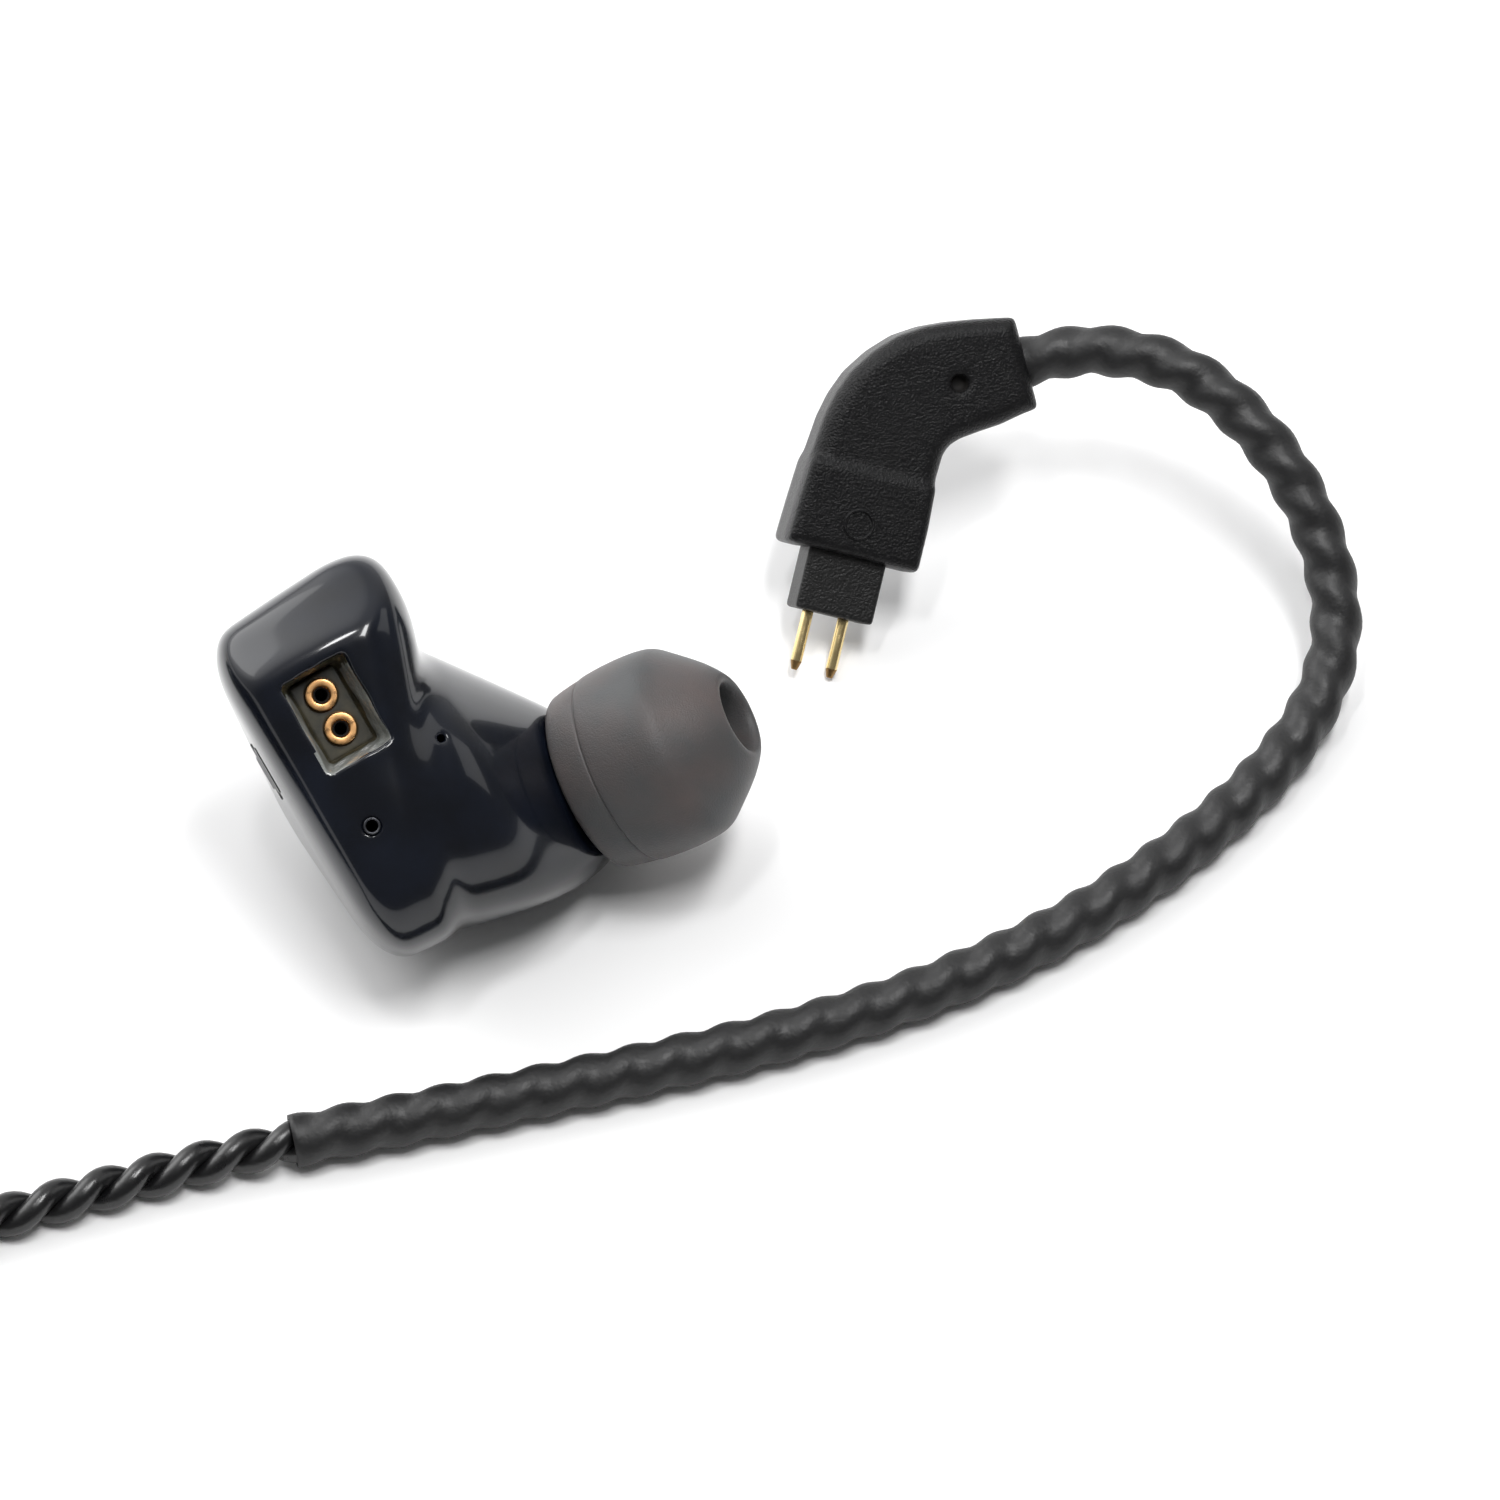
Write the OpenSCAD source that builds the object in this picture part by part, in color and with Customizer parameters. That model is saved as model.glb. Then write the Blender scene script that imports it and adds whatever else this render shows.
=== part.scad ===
// In-ear monitor for stage use: the right-hand earpiece with its detachable two-pin cable.
// The earpiece rests on its side on a table. The cable lies unplugged beside it, with the
// spare length wound in a tied coil. Millimetres. +Z is up, and the origin is on the table
// under the middle of the earpiece.

/* [Earpiece shell] */
// Wall thickness of the shell
shell_wall = 1.1; // [0.9:0.1:1.2]
// Thickness of the faceplate where it meets the shell
faceplate_thick = 0.9; // [0.7:0.05:0.9]
// Height of the faceplate's crown
faceplate_crown = 1.5; // [1.2:0.1:1.6]

/* [Two-pin socket] */
// Length of the recess that the plug's insert enters
recess_length = 6.2; // [6:0.1:6.3]
// Width of the recess
recess_width = 4.5; // [4.2:0.1:4.6]
// Depth of the recess
recess_depth = 2.6; // [2.2:0.1:2.6]
// Distance between the two contacts
contact_pitch = 2.5; // [2.4:0.05:2.55]
// Outer diameter of a contact sleeve
contact_od = 2.1; // [1.9:0.1:2.1]
// Bore of a contact sleeve, for a 0.78 mm pin
contact_bore = 0.82; // [0.8:0.01:0.84]

/* [Nozzle and ear tip] */
// Outer diameter of the nozzle
nozzle_od = 5.6; // [5.4:0.1:5.6]
// Bore of the nozzle
nozzle_bore = 4; // [3.8:0.1:4.2]
// Length of the nozzle beyond the neck
nozzle_reach = 9; // [8:0.5:9]
// Largest diameter of the ear tip
tip_diameter = 13.4; // [13.2:0.1:13.8]
// Diameter of the opening at the front of the ear tip
tip_mouth = 4.6; // [4.2:0.1:4.8]

/* [Cable] */
// Diameter of the twisted pair that runs to each ear
pair_d = 2.9; // [2.7:0.1:2.9]
// Diameter of the twisted main cable
main_d = 3.2; // [3:0.1:3.2]
// Diameter of the formed ear hook sleeve
hook_d = 3.5; // [3.3:0.1:3.5]

/* [Two-pin plug] */
// Thickness of the plug housing
plug_thick = 4.8; // [4.6:0.1:5]
// Diameter of a pin
pin_d = 0.78; // [0.76:0.01:0.78]
// Length of a pin beyond the insert
pin_length = 4.1; // [3.8:0.1:4.2]

/* [Audio plug] */
// Diameter of the three-contact plug
jack_d = 3.5; // [3.4:0.1:3.5]
// Diameter of the barrel
barrel_d = 6.4; // [6:0.1:6.4]
// Length of the barrel
barrel_length = 22; // [20:1:24]

/* [Hidden] */
thin = 0.01;
fine = 48;
fit_gap = 0.02;

// ---------- Earpiece: resting pose ----------
rest_turn = 96.6;
rest_roll = 120;
rest_lift = 35;
rest_at = [-12.05, -0.75, 10.25];

// ---------- Earpiece: outline ----------
// The faceplate's outline is the hull of three round lobes: top, tail and belly.
top_lobe = [7.2, 3.8];
tail_lobe = [-6.4, 2.6];
belly_lobe = [-0.5, -3.4];
top_r = 5;
tail_r = 5.9;
belly_r = 6.5;
// Slices of each lobe through the shell: [depth, x, y, radius].
TOP_SLICES = [[0, 7.2, 3.8, 5], [4.8, 7.2, 3.8, 5.3], [8.3, 7.3, 3.7, 5.4], [9.9, 7.8, 3.6, 4.7],
    [10.8, 8.3, 3.5, 3.8], [11.4, 8.9, 3.4, 2.6], [11.7, 9.2, 3.3, 1.5]];
TAIL_SLICES = [[0, -6.4, 2.6, 5.9], [3.4, -6.4, 2.6, 6.1], [4.8, -6.2, 2.6, 5.4]];
BELLY_SLICES = [[0, -0.5, -3.4, 6.5], [4.5, -0.5, -3.4, 6.7], [7, -0.5, -3.2, 5.6]];
// Oval slices of the neck: [centre, half sizes, share of the nozzle's tilt].
NECK_SLICES = [[[-5, -0.8, 3], [7.2, 8], 0], [[-3.5, -1, 10], [9.9, 8], 0],
    [[-6.7, -2.6, 13.4], [7.1, 6.4], 0.55]];
neck_end = [-8, -4.16, 14.95];
neck_r = 5.6;
// Rounding of the neck's end: [distance out, drop in radius].
NECK_ROUND = [[0, 0], [1.8, 0.35], [2.6, 2]];
nozzle_tilt = 25.5;
nozzle_heading = 103;
facet_y = 8.8;
vent_at = [-3.7, 2.2];
vent_bore = 0.8;
vent_od = 1.1;
second_vent_at = [-1, 9];
second_vent_d = 0.5;

// ---------- Socket ----------
socket_x = 4.05;
socket_z = 3.75;
// The recess and the insert both sit off the middle of the contacts, so the plug fits one way.
key_shift = 0.22;
floor_y = facet_y - recess_depth;
block_size = [5.4, 2.2, 3.2];
contact_length = 3.4;
contact_proud = 0.5;
boss_wall = 0.7;

// ---------- Nozzle and tip, measured along the nozzle from the neck's end ----------
tip_start = 2.2;
core_start = 3.5;
core_step = 9.2;
tip_end = 13.6;
core_gap = 0.06;

// ---------- Two-pin plug ----------
insert_size = [5.5, 3.4];
insert_length = 4.2;
insert_root = 1.4;
block_height = 5.8;
block_step = 0.3;
plug_turn = 12;
plug_lean = 13.5;
right_plug_at = [22.95, 22.85, 5.3];
mark_ring = [1.1, 0.85];
mark_rise = 0.15;

// ---------- Cable layout: everything round is centred on the coil ----------
coil_at = [-73.5, -9.5, 0];
tie_thick = 0.5;
coil_turns = 4;
coil_layers = 2;
coil_inner = 11.6;
coil_outer = coil_inner + coil_turns * main_d;
coil_top = tie_thick + coil_layers * main_d;
lane_left = 26.8;
lane_right = 29.8;
lane_z = tie_thick + pair_d / 2;
split_angle = 330.5;
split_r = 28.3;
split_length = 14;

module posed()
    translate(rest_at) rotate([rest_lift, 0, 0]) rotate([0, 0, rest_roll]) rotate([rest_turn, 0, 0]) children();

// Along the nozzle: +Z runs out of the neck from the middle of its end.
module on_nozzle()
    translate(neck_end) rotate([0, 0, nozzle_heading]) rotate([0, nozzle_tilt, 0]) children();

module lobe_slices(slices, inset, low)
    for (s = slices) translate([s[1], s[2], max(low, s[0] - inset)]) cylinder(h = thin, r = s[3] - inset, $fn = fine);

module neck_slice(slice, inset)
    translate(slice[0]) rotate([0, 0, nozzle_heading]) rotate([0, nozzle_tilt * slice[2], 0])
        rotate([0, 0, -nozzle_heading]) scale([slice[1][0] - inset, slice[1][1] - inset, 1])
            cylinder(h = thin, r = 1, $fn = fine);

module shell_form(inset, low) {
    hull() {
        lobe_slices(TOP_SLICES, inset, low);
        lobe_slices(TAIL_SLICES, inset, low);
        lobe_slices(BELLY_SLICES, inset, low);
    }
    hull() {
        for (slice = NECK_SLICES) neck_slice(slice, inset);
        for (step = NECK_ROUND) on_nozzle() translate([0, 0, step[0] - inset])
            cylinder(h = thin, r = neck_r - step[1] - inset, $fn = fine);
    }
}

module on_facet(x, z, y = facet_y) translate([x, y, z]) rotate([-90, 0, 0]) children();

module recess_box(grow, from_y, to_y)
    translate([socket_x - key_shift - recess_length / 2 - grow, from_y, socket_z - recess_width / 2 - grow])
        cube([recess_length + 2 * grow, to_y - from_y, recess_width + 2 * grow]);

module shell_solid() {
    difference() {
        shell_form(0, faceplate_thick);
        shell_form(shell_wall, faceplate_thick - 1);
    }
    intersection() {
        shell_form(0.3, faceplate_thick);
        translate([0, 0, faceplate_thick]) intersection() {
            translate([0, 0, -faceplate_thick]) recess_box(boss_wall, floor_y - block_size[1], facet_y);
            translate([-20, -20, 0]) cube(40);
        }
    }
}

module shell() color("midnightblue") posed() difference() {
    shell_solid();
    recess_box(0, floor_y, facet_y + 2);
    translate([socket_x - block_size[0] / 2, floor_y - block_size[1] - 1, socket_z - block_size[2] / 2])
        cube([block_size[0], block_size[1] + 1.1, block_size[2]]);
    on_facet(vent_at[0], vent_at[1], facet_y - 3) cylinder(h = 6, r = vent_od / 2, $fn = fine);
    on_facet(second_vent_at[0], second_vent_at[1], 3) cylinder(h = 6, r = second_vent_d / 2, $fn = fine);
    on_nozzle() translate([0, 0, -3]) cylinder(h = 8, r = nozzle_od / 2, $fn = fine);
}

module plate_slice(z, drop) {
    translate([top_lobe[0], top_lobe[1], z]) cylinder(h = thin, r = top_r - drop, $fn = fine);
    translate([tail_lobe[0], tail_lobe[1], z]) cylinder(h = thin, r = tail_r - drop, $fn = fine);
    translate([belly_lobe[0], belly_lobe[1], z]) cylinder(h = thin, r = belly_r - drop, $fn = fine);
}

// The crown of the faceplate: [share of its height, drop in radius].
CROWN = [[0, 0.1], [0.3, 0.45], [0.6, 1.15], [0.83, 2.1], [1, 3.5]];
module faceplate() color("midnightblue") posed() hull() {
    plate_slice(faceplate_thick - thin, 0);
    for (step = CROWN) plate_slice(-faceplate_crown * step[0], step[1]);
}

// Three plain level bars on the faceplate.
mark_at = [2.9, 1.5];
module faceplate_mark() color("black") posed()
    for (bar = [[-1.6, 2.4], [0, 4.2], [1.6, 3.4]])
        translate([mark_at[0] - bar[1] / 2, mark_at[1] + bar[0] - 0.35, -faceplate_crown - 0.08]) cube([bar[1], 0.7, 0.08]);

module nozzle() color("midnightblue") posed() on_nozzle() rotate_extrude($fn = fine) polygon([
    [nozzle_bore / 2, -2], [nozzle_od / 2, -2], [nozzle_od / 2, nozzle_reach - 0.4],
    [nozzle_od / 2 - 0.4, nozzle_reach], [nozzle_bore / 2, nozzle_reach]]);

module nozzle_screen() color("silver") posed() on_nozzle() translate([0, 0, nozzle_reach - 0.7])
    cylinder(h = 0.15, r = nozzle_bore / 2, $fn = fine);

module vent_ring() color("silver") posed() on_facet(vent_at[0], vent_at[1], facet_y - 1.2) difference() {
    cylinder(h = 1.3, r = vent_od / 2, $fn = fine);
    translate([0, 0, -1]) cylinder(h = 4, r = vent_bore / 2, $fn = fine);
}

module ear_tip() color("dimgray") posed() on_nozzle() rotate_extrude($fn = 64) {
    tip_r = tip_diameter / 2;
    core_r = nozzle_od / 2 + core_gap;
    polygon([
        [5.6, tip_start], [5.95, tip_start + 0.1], [6.2, 3.4], [6.5, 5], [tip_r, 7.2], [tip_r - 0.05, 8.8],
        [tip_r - 0.45, 10.2], [5.6, 11.5], [4.7, 12.6], [3.7, 13.3], [2.8, tip_end], [tip_mouth / 2, tip_end - 0.4],
        [tip_mouth / 2, core_step], [core_r, core_step], [core_r, core_start], [core_r + 0.7, core_start],
        [core_r + 0.7, 10], [4.3, 11.2], [5, 10.5], [5.6, 9.4], [5.95, 7.4], [5.85, 5], [5.6, 3.4]]);
}

module socket_block() color("dimgray") posed() difference() {
    translate([socket_x - block_size[0] / 2 + fit_gap, floor_y - block_size[1], socket_z - block_size[2] / 2 + fit_gap])
        cube([block_size[0] - 2 * fit_gap, block_size[1], block_size[2] - 2 * fit_gap]);
    for (side = [-1, 1]) on_facet(socket_x + side * contact_pitch / 2, socket_z, floor_y - 4)
        cylinder(h = 6, r = contact_od / 2, $fn = fine);
}

module contact_sleeves() color("goldenrod") posed()
    for (side = [-1, 1])
        on_facet(socket_x + side * contact_pitch / 2, socket_z, floor_y + contact_proud - contact_length) difference() {
            cylinder(h = contact_length, r = contact_od / 2, $fn = fine);
            translate([0, 0, 0.4]) cylinder(h = contact_length, r = contact_bore / 2, $fn = fine);
        }

board_at = [-2.2, -2.2, 1.4];
board_size = [8, 6, 0.5];
module crossover_board() color("darkgreen") posed() translate(board_at - [board_size[0] / 2, board_size[1] / 2, 0])
    cube(board_size);

module crossover_parts() color("tan") posed()
    for (part = [[-2.6, -1.5, 2, 1.2, 0.7], [-2.6, 1.2, 1.6, 0.8, 0.5], [0.4, -1.6, 1.6, 0.8, 0.5],
                 [0.4, 0.2, 1, 0.5, 0.4], [0.4, 1.6, 1, 0.5, 0.4]])
        translate(board_at + [part[0] - part[2] / 2, part[1] - part[3] / 2, board_size[2]]) cube([part[2], part[3], part[4]]);

low_at = [-3.2, -2.6, 2.9];
low_r = 4.6;
module low_driver_frame() color("silver") posed() translate(low_at) rotate_extrude($fn = fine) polygon([
    [2.9, 0.5], [low_r, 0.5], [low_r, 3.2], [1.1, 3.2], [1.1, 2.9], [4.2, 2.9], [4.2, 1], [2.9, 1]]);
module low_driver_magnet() color("gray") posed() translate(low_at) rotate_extrude($fn = fine) polygon([
    [0, 0], [2.9, 0], [2.9, 1.5], [2.6, 1.5], [2.6, 0.4], [2, 0.4], [2, 1.5], [0, 1.5]]);
module low_driver_coil() color("peru") posed() translate(low_at) rotate_extrude($fn = fine) polygon([
    [2.15, 0.7], [2.45, 0.7], [2.45, 1.9], [2.15, 1.9]]);
module low_driver_diaphragm() color("whitesmoke") posed() translate(low_at) rotate_extrude($fn = fine) polygon([
    [0, 2.35], [0.9, 2.25], [1.7, 2.05], [2.15, 1.9], [2.45, 1.9], [3, 2.1], [3.6, 1.9], [4.2, 1.9], [4.2, 2],
    [3.6, 2], [3, 2.2], [2.3, 2], [1.7, 2.15], [0.9, 2.35], [0, 2.45]]);

// A balanced armature driver: a steel box with a round sound spout.
module armature(size, spout) {
    cube(size, center = true);
    translate([0, 0, size[2] / 2]) cylinder(h = spout, r = 0.6, $fn = fine);
}
mid_at = [7.2, 3.6, 7.9];
mid_size = [5, 3.2, 2.2];
high_at = [6.6, 1.4, 5.8];
high_size = [4.6, 2.6, 1.8];
module mid_driver() color("silver") posed() translate(mid_at) rotate([0, -90, 0]) rotate([0, 0, 90])
    armature([mid_size[0], mid_size[2], mid_size[1]], 0.8);
module high_driver() color("silver") posed() translate(high_at) rotate([0, -90, 0]) rotate([0, 0, 90])
    armature([high_size[0], high_size[2], high_size[1]], 0.8);

// Point at a given distance along the nozzle and sideways offset from its axis.
function along_nozzle(t, side) = neck_end + t * [sin(nozzle_tilt) * cos(nozzle_heading),
    sin(nozzle_tilt) * sin(nozzle_heading), cos(nozzle_tilt)] + side * [-sin(nozzle_heading), cos(nozzle_heading), 0];
tube_side = 1;
LOW_TUBE = [[-3.2, -2.6, 6.1], [-3.4, -2.7, 7.6], [-7, -4.4, 10.6], along_nozzle(-3.4, 1.3 * tube_side),
    along_nozzle(-2.2, tube_side), along_nozzle(4, tube_side)];
MID_TUBE = [[4.8, 3.6, 7.9], [2.6, 2, 8], [-2.4, -2.4, 10.6], along_nozzle(-3.4, -1.3 * tube_side),
    along_nozzle(-2.2, -tube_side), along_nozzle(4, -tube_side)];
HIGH_TUBE = [[4.5, 1.4, 5.8], [3.4, 1.4, 6], [2.9, 1.3, 6.3]];
tube_d = 1.6;
tube_bore = 1.1;
tube_sides = 12;
tube_face = [0, 1, 0];
module low_tube() color("gainsboro") posed() hose(LOW_TUBE, tube_d, tube_bore, tube_sides, tube_face);
module mid_high_tube() color("gainsboro") posed() {
    hose(MID_TUBE, tube_d, tube_bore, tube_sides, tube_face);
    hose(HIGH_TUBE, tube_d, tube_bore, tube_sides, tube_face);
}
damper_d = 0.9;
module acoustic_dampers() color("limegreen") posed() for (side = [-tube_side, tube_side])
    cord([along_nozzle(1.6, side), along_nozzle(3.2, side)], damper_d, tube_sides, tube_face);

lead_d = 0.26;
lead_sides = 5;
module socket_leads() color("firebrick") posed() for (side = [-1, 1])
    cord([[socket_x + side * contact_pitch / 2, floor_y + contact_proud - contact_length, socket_z],
        [socket_x + side * contact_pitch / 2, 2.4, 3.3], [2.6, 0.9 + side * 0.4, 2.6],
        [1.5, side * 0.4 - 0.4, 1.9]], lead_d, lead_sides);
module driver_leads() color("peru") posed()
    for (side = [-1, 1]) {
        cord([[-6.6, -2.4 + side * 0.8, 1.9], [-7, -2.5 + side * 0.8, 2.6], [-7.1, -2.6 + side * 0.8, 3.4]],
            lead_d, lead_sides);
        cord([[1.5, -3.2 + side * 0.4, 1.9], [4, -2.8 + side * 0.4, 2.3], [6.2, -1.8 + side * 0.4, 2.4]],
            lead_d, lead_sides);
    }

// ---------- Two-pin plug: pins point down, the marked face looks along -Y ----------
// The housing's outline, [x, z]: up the back, round the bend, then the arm's end and underside.
HOUSING = [[-4.25, 0], [-4.1, 3.1], [-3.9, 5.9], [-3.6, 8.8], [-3.2, 10.5], [-2.5, 12.2], [-1.3, 13.9],
    [0.1, 15.3], [1.7, 16.3], [3.3, 17], [5, 17.6], [7.6, 18.4], [10.7, 12.8], [9.8, 12.2], [8.4, 11.1],
    [7.1, 10.3], [5.9, 9.5], [5.3, 8.9], [5, 8.2], [4.9, 6], [5.05, 3], [5.05, 0]];
BLOCK = [[-4.25, 0], [-4.1, 3.1], [-3.9, block_height], [4.9, block_height], [5.05, 3], [5.05, 0]];
// The pins are thinner inside the insert, and pass through it into the housing.
shank_d = 0.44;
shank_length = 0.5;
pin_taper = 0.6;
gate_at = [4.8, 13.1];
gate_r = 0.55;
face_y = plug_thick / 2 + block_step;

module slab(outline, thick) translate([0, thick / 2, 0]) rotate([90, 0, 0]) linear_extrude(thick) polygon(outline);

module insert_core(from, to, trim)
    translate([key_shift - insert_size[0] / 2 + trim, -insert_size[1] / 2 + trim, from])
        cube([insert_size[0] - 2 * trim, insert_size[1] - 2 * trim, to - from]);

module housing_shape() color("dimgray") difference() {
    union() {
        slab(HOUSING, plug_thick);
        slab(BLOCK, 2 * face_y);
    }
    insert_core(-1, insert_root, 0);
    translate([gate_at[0], 1 - plug_thick / 2, gate_at[1]]) rotate([90, 0, 0]) cylinder(h = 2, r = gate_r, $fn = fine);
}
module insert_shape() color("black") difference() {
    insert_core(-insert_length, insert_root, fit_gap);
    for (side = [-1, 1]) translate([side * contact_pitch / 2, 0, -insert_length - 1])
        cylinder(h = insert_length + 1 + shank_length, r = shank_d / 2, $fn = fine);
}
module pins_shape() color("gold")
    for (side = [-1, 1]) translate([side * contact_pitch / 2, 0, -insert_length - pin_length]) rotate_extrude($fn = fine)
        polygon([[0, 0], [0.2, 0], [pin_d / 2, pin_taper], [pin_d / 2, pin_length], [shank_d / 2, pin_length],
            [shank_d / 2, pin_length + insert_length + shank_length], [0, pin_length + insert_length + shank_length]]);
module ring_mark() color("dimgray") translate([0.2, -face_y, 2.2]) rotate([90, 0, 0]) difference() {
    cylinder(h = mark_rise, r = mark_ring[0], $fn = fine);
    translate([0, 0, -1]) cylinder(h = 3, r = mark_ring[1], $fn = fine);
}
module bar_mark() color("dimgray") translate([-0.9, -face_y - mark_rise, 2]) cube([2.2, mark_rise, 0.5]);

module right_plug()
    translate(right_plug_at) rotate([rest_lift, 0, 0]) rotate([0, 0, -plug_lean]) rotate([-90, 0, 0])
        rotate([0, 0, plug_turn]) children();
module plug_housing_right() right_plug() housing_shape();
module plug_insert_right() right_plug() insert_shape();
module plug_pins_right() right_plug() pins_shape();
module plug_marker_right() right_plug() ring_mark();

// ---------- Cords ----------
function unit(v) = v / norm(v);
function heading(p, i) = unit(p[min(i + 1, len(p) - 1)] - p[max(i - 1, 0)]);
function ring(p, i, r, sides, face) = let (t = heading(p, i), s = unit(cross(t, face)), u = cross(s, t))
    [for (k = [0:sides - 1]) p[i] + r * cos(360 * (k + 0.5) / sides) * s + r * sin(360 * (k + 0.5) / sides) * u];

// A cord swept along its points, with a ring of sides at each.
module cord(points, d, sides = 8, face = [0, 0, 1]) {
    last = len(points) - 1;
    corners = [for (i = [0:last]) each ring(points, i, d / 2, sides, face)];
    walls = [for (i = [0:last - 1]) for (k = [0:sides - 1])
        [i * sides + k, i * sides + (k + 1) % sides, (i + 1) * sides + (k + 1) % sides, (i + 1) * sides + k]];
    ends = [[for (k = [sides - 1:-1:0]) k], [for (k = [0:sides - 1]) last * sides + k]];
    polyhedron(corners, concat(walls, ends));
}

// A hose swept along its points: as a cord, with a bore along it.
module hose(points, d, bore, sides, face) {
    last = len(points) - 1;
    inner = (last + 1) * sides;
    corners = concat([for (i = [0:last]) each ring(points, i, d / 2, sides, face)],
        [for (i = [0:last]) each ring(points, i, bore / 2, sides, face)]);
    outside = [for (i = [0:last - 1]) for (k = [0:sides - 1]) let (m = (k + 1) % sides)
        [i * sides + k, i * sides + m, (i + 1) * sides + m, (i + 1) * sides + k]];
    inside = [for (f = outside) [for (c = [3:-1:0]) f[c] + inner]];
    rims = [for (k = [0:sides - 1]) let (m = (k + 1) % sides, a = last * sides)
        each [[m, k, k + inner, m + inner], [a + k, a + m, a + m + inner, a + k + inner]]];
    polyhedron(corners, concat(outside, inside, rims));
}

function round_coil(r, a, z) = coil_at + [r * cos(a), r * sin(a), z];
function ease(x) = x * x * (3 - 2 * x);
function blend(a, from, to) = ease(min(1, max(0, (a - from) / (to - from))));

// The ear hook arches from the plug down to the table, then lies on it.
HOOK_RIGHT = [[35.6, 34.6, 11.4], [38.6, 35, 12], [41.8, 34.5, 12.6], [46, 33, 12.6], [50, 30.2, 11.4],
    [53.4, 26.5, 9.2], [55.7, 22, 6.4], [56.3, 17, 3.9], [54.5, 11.8, 2.3], [50.5, 6.2, 1.75], [44.5, 0.2, 1.75],
    [37, -5.4, 1.75], [28.5, -10, 1.75], [19.5, -13.4, 1.75], [10.5, -16, 1.75], [1.5, -18.3, 1.75],
    [-5.5, -20, 1.75], [-13, -21.8, 1.75]];
PAIR_RIGHT = [[-13, -21.8, 1.75], [-21.5, -24.1, 1.45], [-31.5, -27.3, 1.45], [-42.5, -30.9, 1.6],
    [-53.5, -34.4, 1.8]];
// Angles of the points along the lanes: closer together where the chin slider runs.
slide_step = 11.2;
lane_step = 17.5;
RIGHT_ANGLES = concat([for (i = [0:13]) 287.5 - i * lane_step], [for (i = [0:5]) 48 - i * slide_step]);
LEFT_ANGLES = concat([for (i = [0:5]) 352 + i * slide_step], [for (i = [1:22]) 408 + i * lane_step]);
module ear_hook_right() color("dimgray") cord(HOOK_RIGHT, hook_d);
module cable_right() color("black") cord(concat(PAIR_RIGHT,
    [for (a = RIGHT_ANGLES) round_coil(lane_right, a, lane_z)], [round_coil(29.9, -13.5, lane_z)]), pair_d);

// The left branch runs beside the right one, climbs the coil and winds inward on top of it.
hook_left_from = 813;
hook_left_to = 1145;
turn_in_from = 1085;
function left_r(a) = a < 655 ? lane_left : (a < 700 ? lane_left - 4.8 * blend(a, 655, 700) :
    22 - 3.6 * (a - 700) / 360 - 3 * pow(max(0, a - turn_in_from) / 60, 2));
function left_z(a) = lane_z + (coil_top + pair_d / 2 - lane_z) * blend(a, 590, 655);
function hook_left_z(a) = coil_top + hook_d / 2 + 0.95 * blend(a, turn_in_from, hook_left_to);
module cable_left() color("black") cord(concat([round_coil(27.1, -13.5, lane_z)],
    [for (a = LEFT_ANGLES) round_coil(left_r(a), a, left_z(a))],
    [round_coil(left_r(hook_left_from), hook_left_from, left_z(hook_left_from) + 0.3)]), pair_d);
module ear_hook_left() color("dimgray") cord([for (i = [0:14])
    let (a = hook_left_from + i * (hook_left_to - hook_left_from) / 14) round_coil(left_r(a), a, hook_left_z(a))], hook_d);

// The main cable: two layers of turns, a lead to the splitter and a lead to the audio plug.
module main_coil() color("black") translate(coil_at + [0, 0, tie_thick]) rotate_extrude($fn = 96)
    translate([coil_inner, 0]) square([coil_outer - coil_inner, coil_layers * main_d]);
LEAD_TO_PLUG = [[-15.3, -16.9, 5.3], [-20.5, -12.2, 5.3], [-25.7, -7.5, 5.3], [-31, -2.5, 5.3], [-34.6, 1.9, 4.8],
    [-36.8, 6.5, 3.8], [-37.5, 11.5, 3.2]];
module main_leads() color("black") {
    cord([for (a = [262:9:307]) round_coil(22.8 + 5.5 * blend(a, 255, 312), a, tie_thick + main_d / 2)],
        main_d);
    cord([for (p = LEAD_TO_PLUG) coil_at + p], main_d);
}

// ---------- Cable fittings ----------
module on_split() translate(coil_at) rotate([0, 0, split_angle]) translate([split_r, 0, 2.3]) rotate([-90, 0, 0]) children();
module y_split() color("dimgray") on_split() hull() {
    translate([0, 0, -split_length / 2]) cylinder(h = 3, r = 2.1, $fn = fine);
    for (side = [-1, 1]) translate([side * 1.5, 0, split_length / 2 - 6]) cylinder(h = 6, r = 2.2, $fn = fine);
}

slider_from = 352;
slider_span = 14;
slider_gap = 0.25;
module chin_slider() color("dimgray") translate(coil_at) rotate([0, 0, slider_from - 360])
    rotate_extrude(angle = slider_span, $fn = 240) difference() {
        translate([lane_left - 2.1, 0.05]) square([lane_right - lane_left + 4.2, 3.8]);
        for (r = [lane_left, lane_right]) translate([r, lane_z]) circle(r = pair_d / 2 + slider_gap, $fn = fine);
    }

// The tie's path round the coil, [distance from the coil's axis, height]: it slopes down over the outer lanes.
TIE_INSIDE = [[10.8, 0.5], [31.6, 0.5], [31.6, 3.55], [24.9, 10.6], [10.8, 10.6]];
TIE_OUTSIDE = [[10.3, 0], [32.1, 0], [32.1, 3.75], [25.1, 11.1], [10.3, 11.1]];
tie_width = 6;
tie_angle = 222;
module coil_tie() color("black") translate(coil_at) rotate([0, 0, tie_angle]) rotate([90, 0, 0])
    linear_extrude(tie_width, center = true) difference() {
        polygon(TIE_OUTSIDE);
        polygon(TIE_INSIDE);
    }

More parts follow.
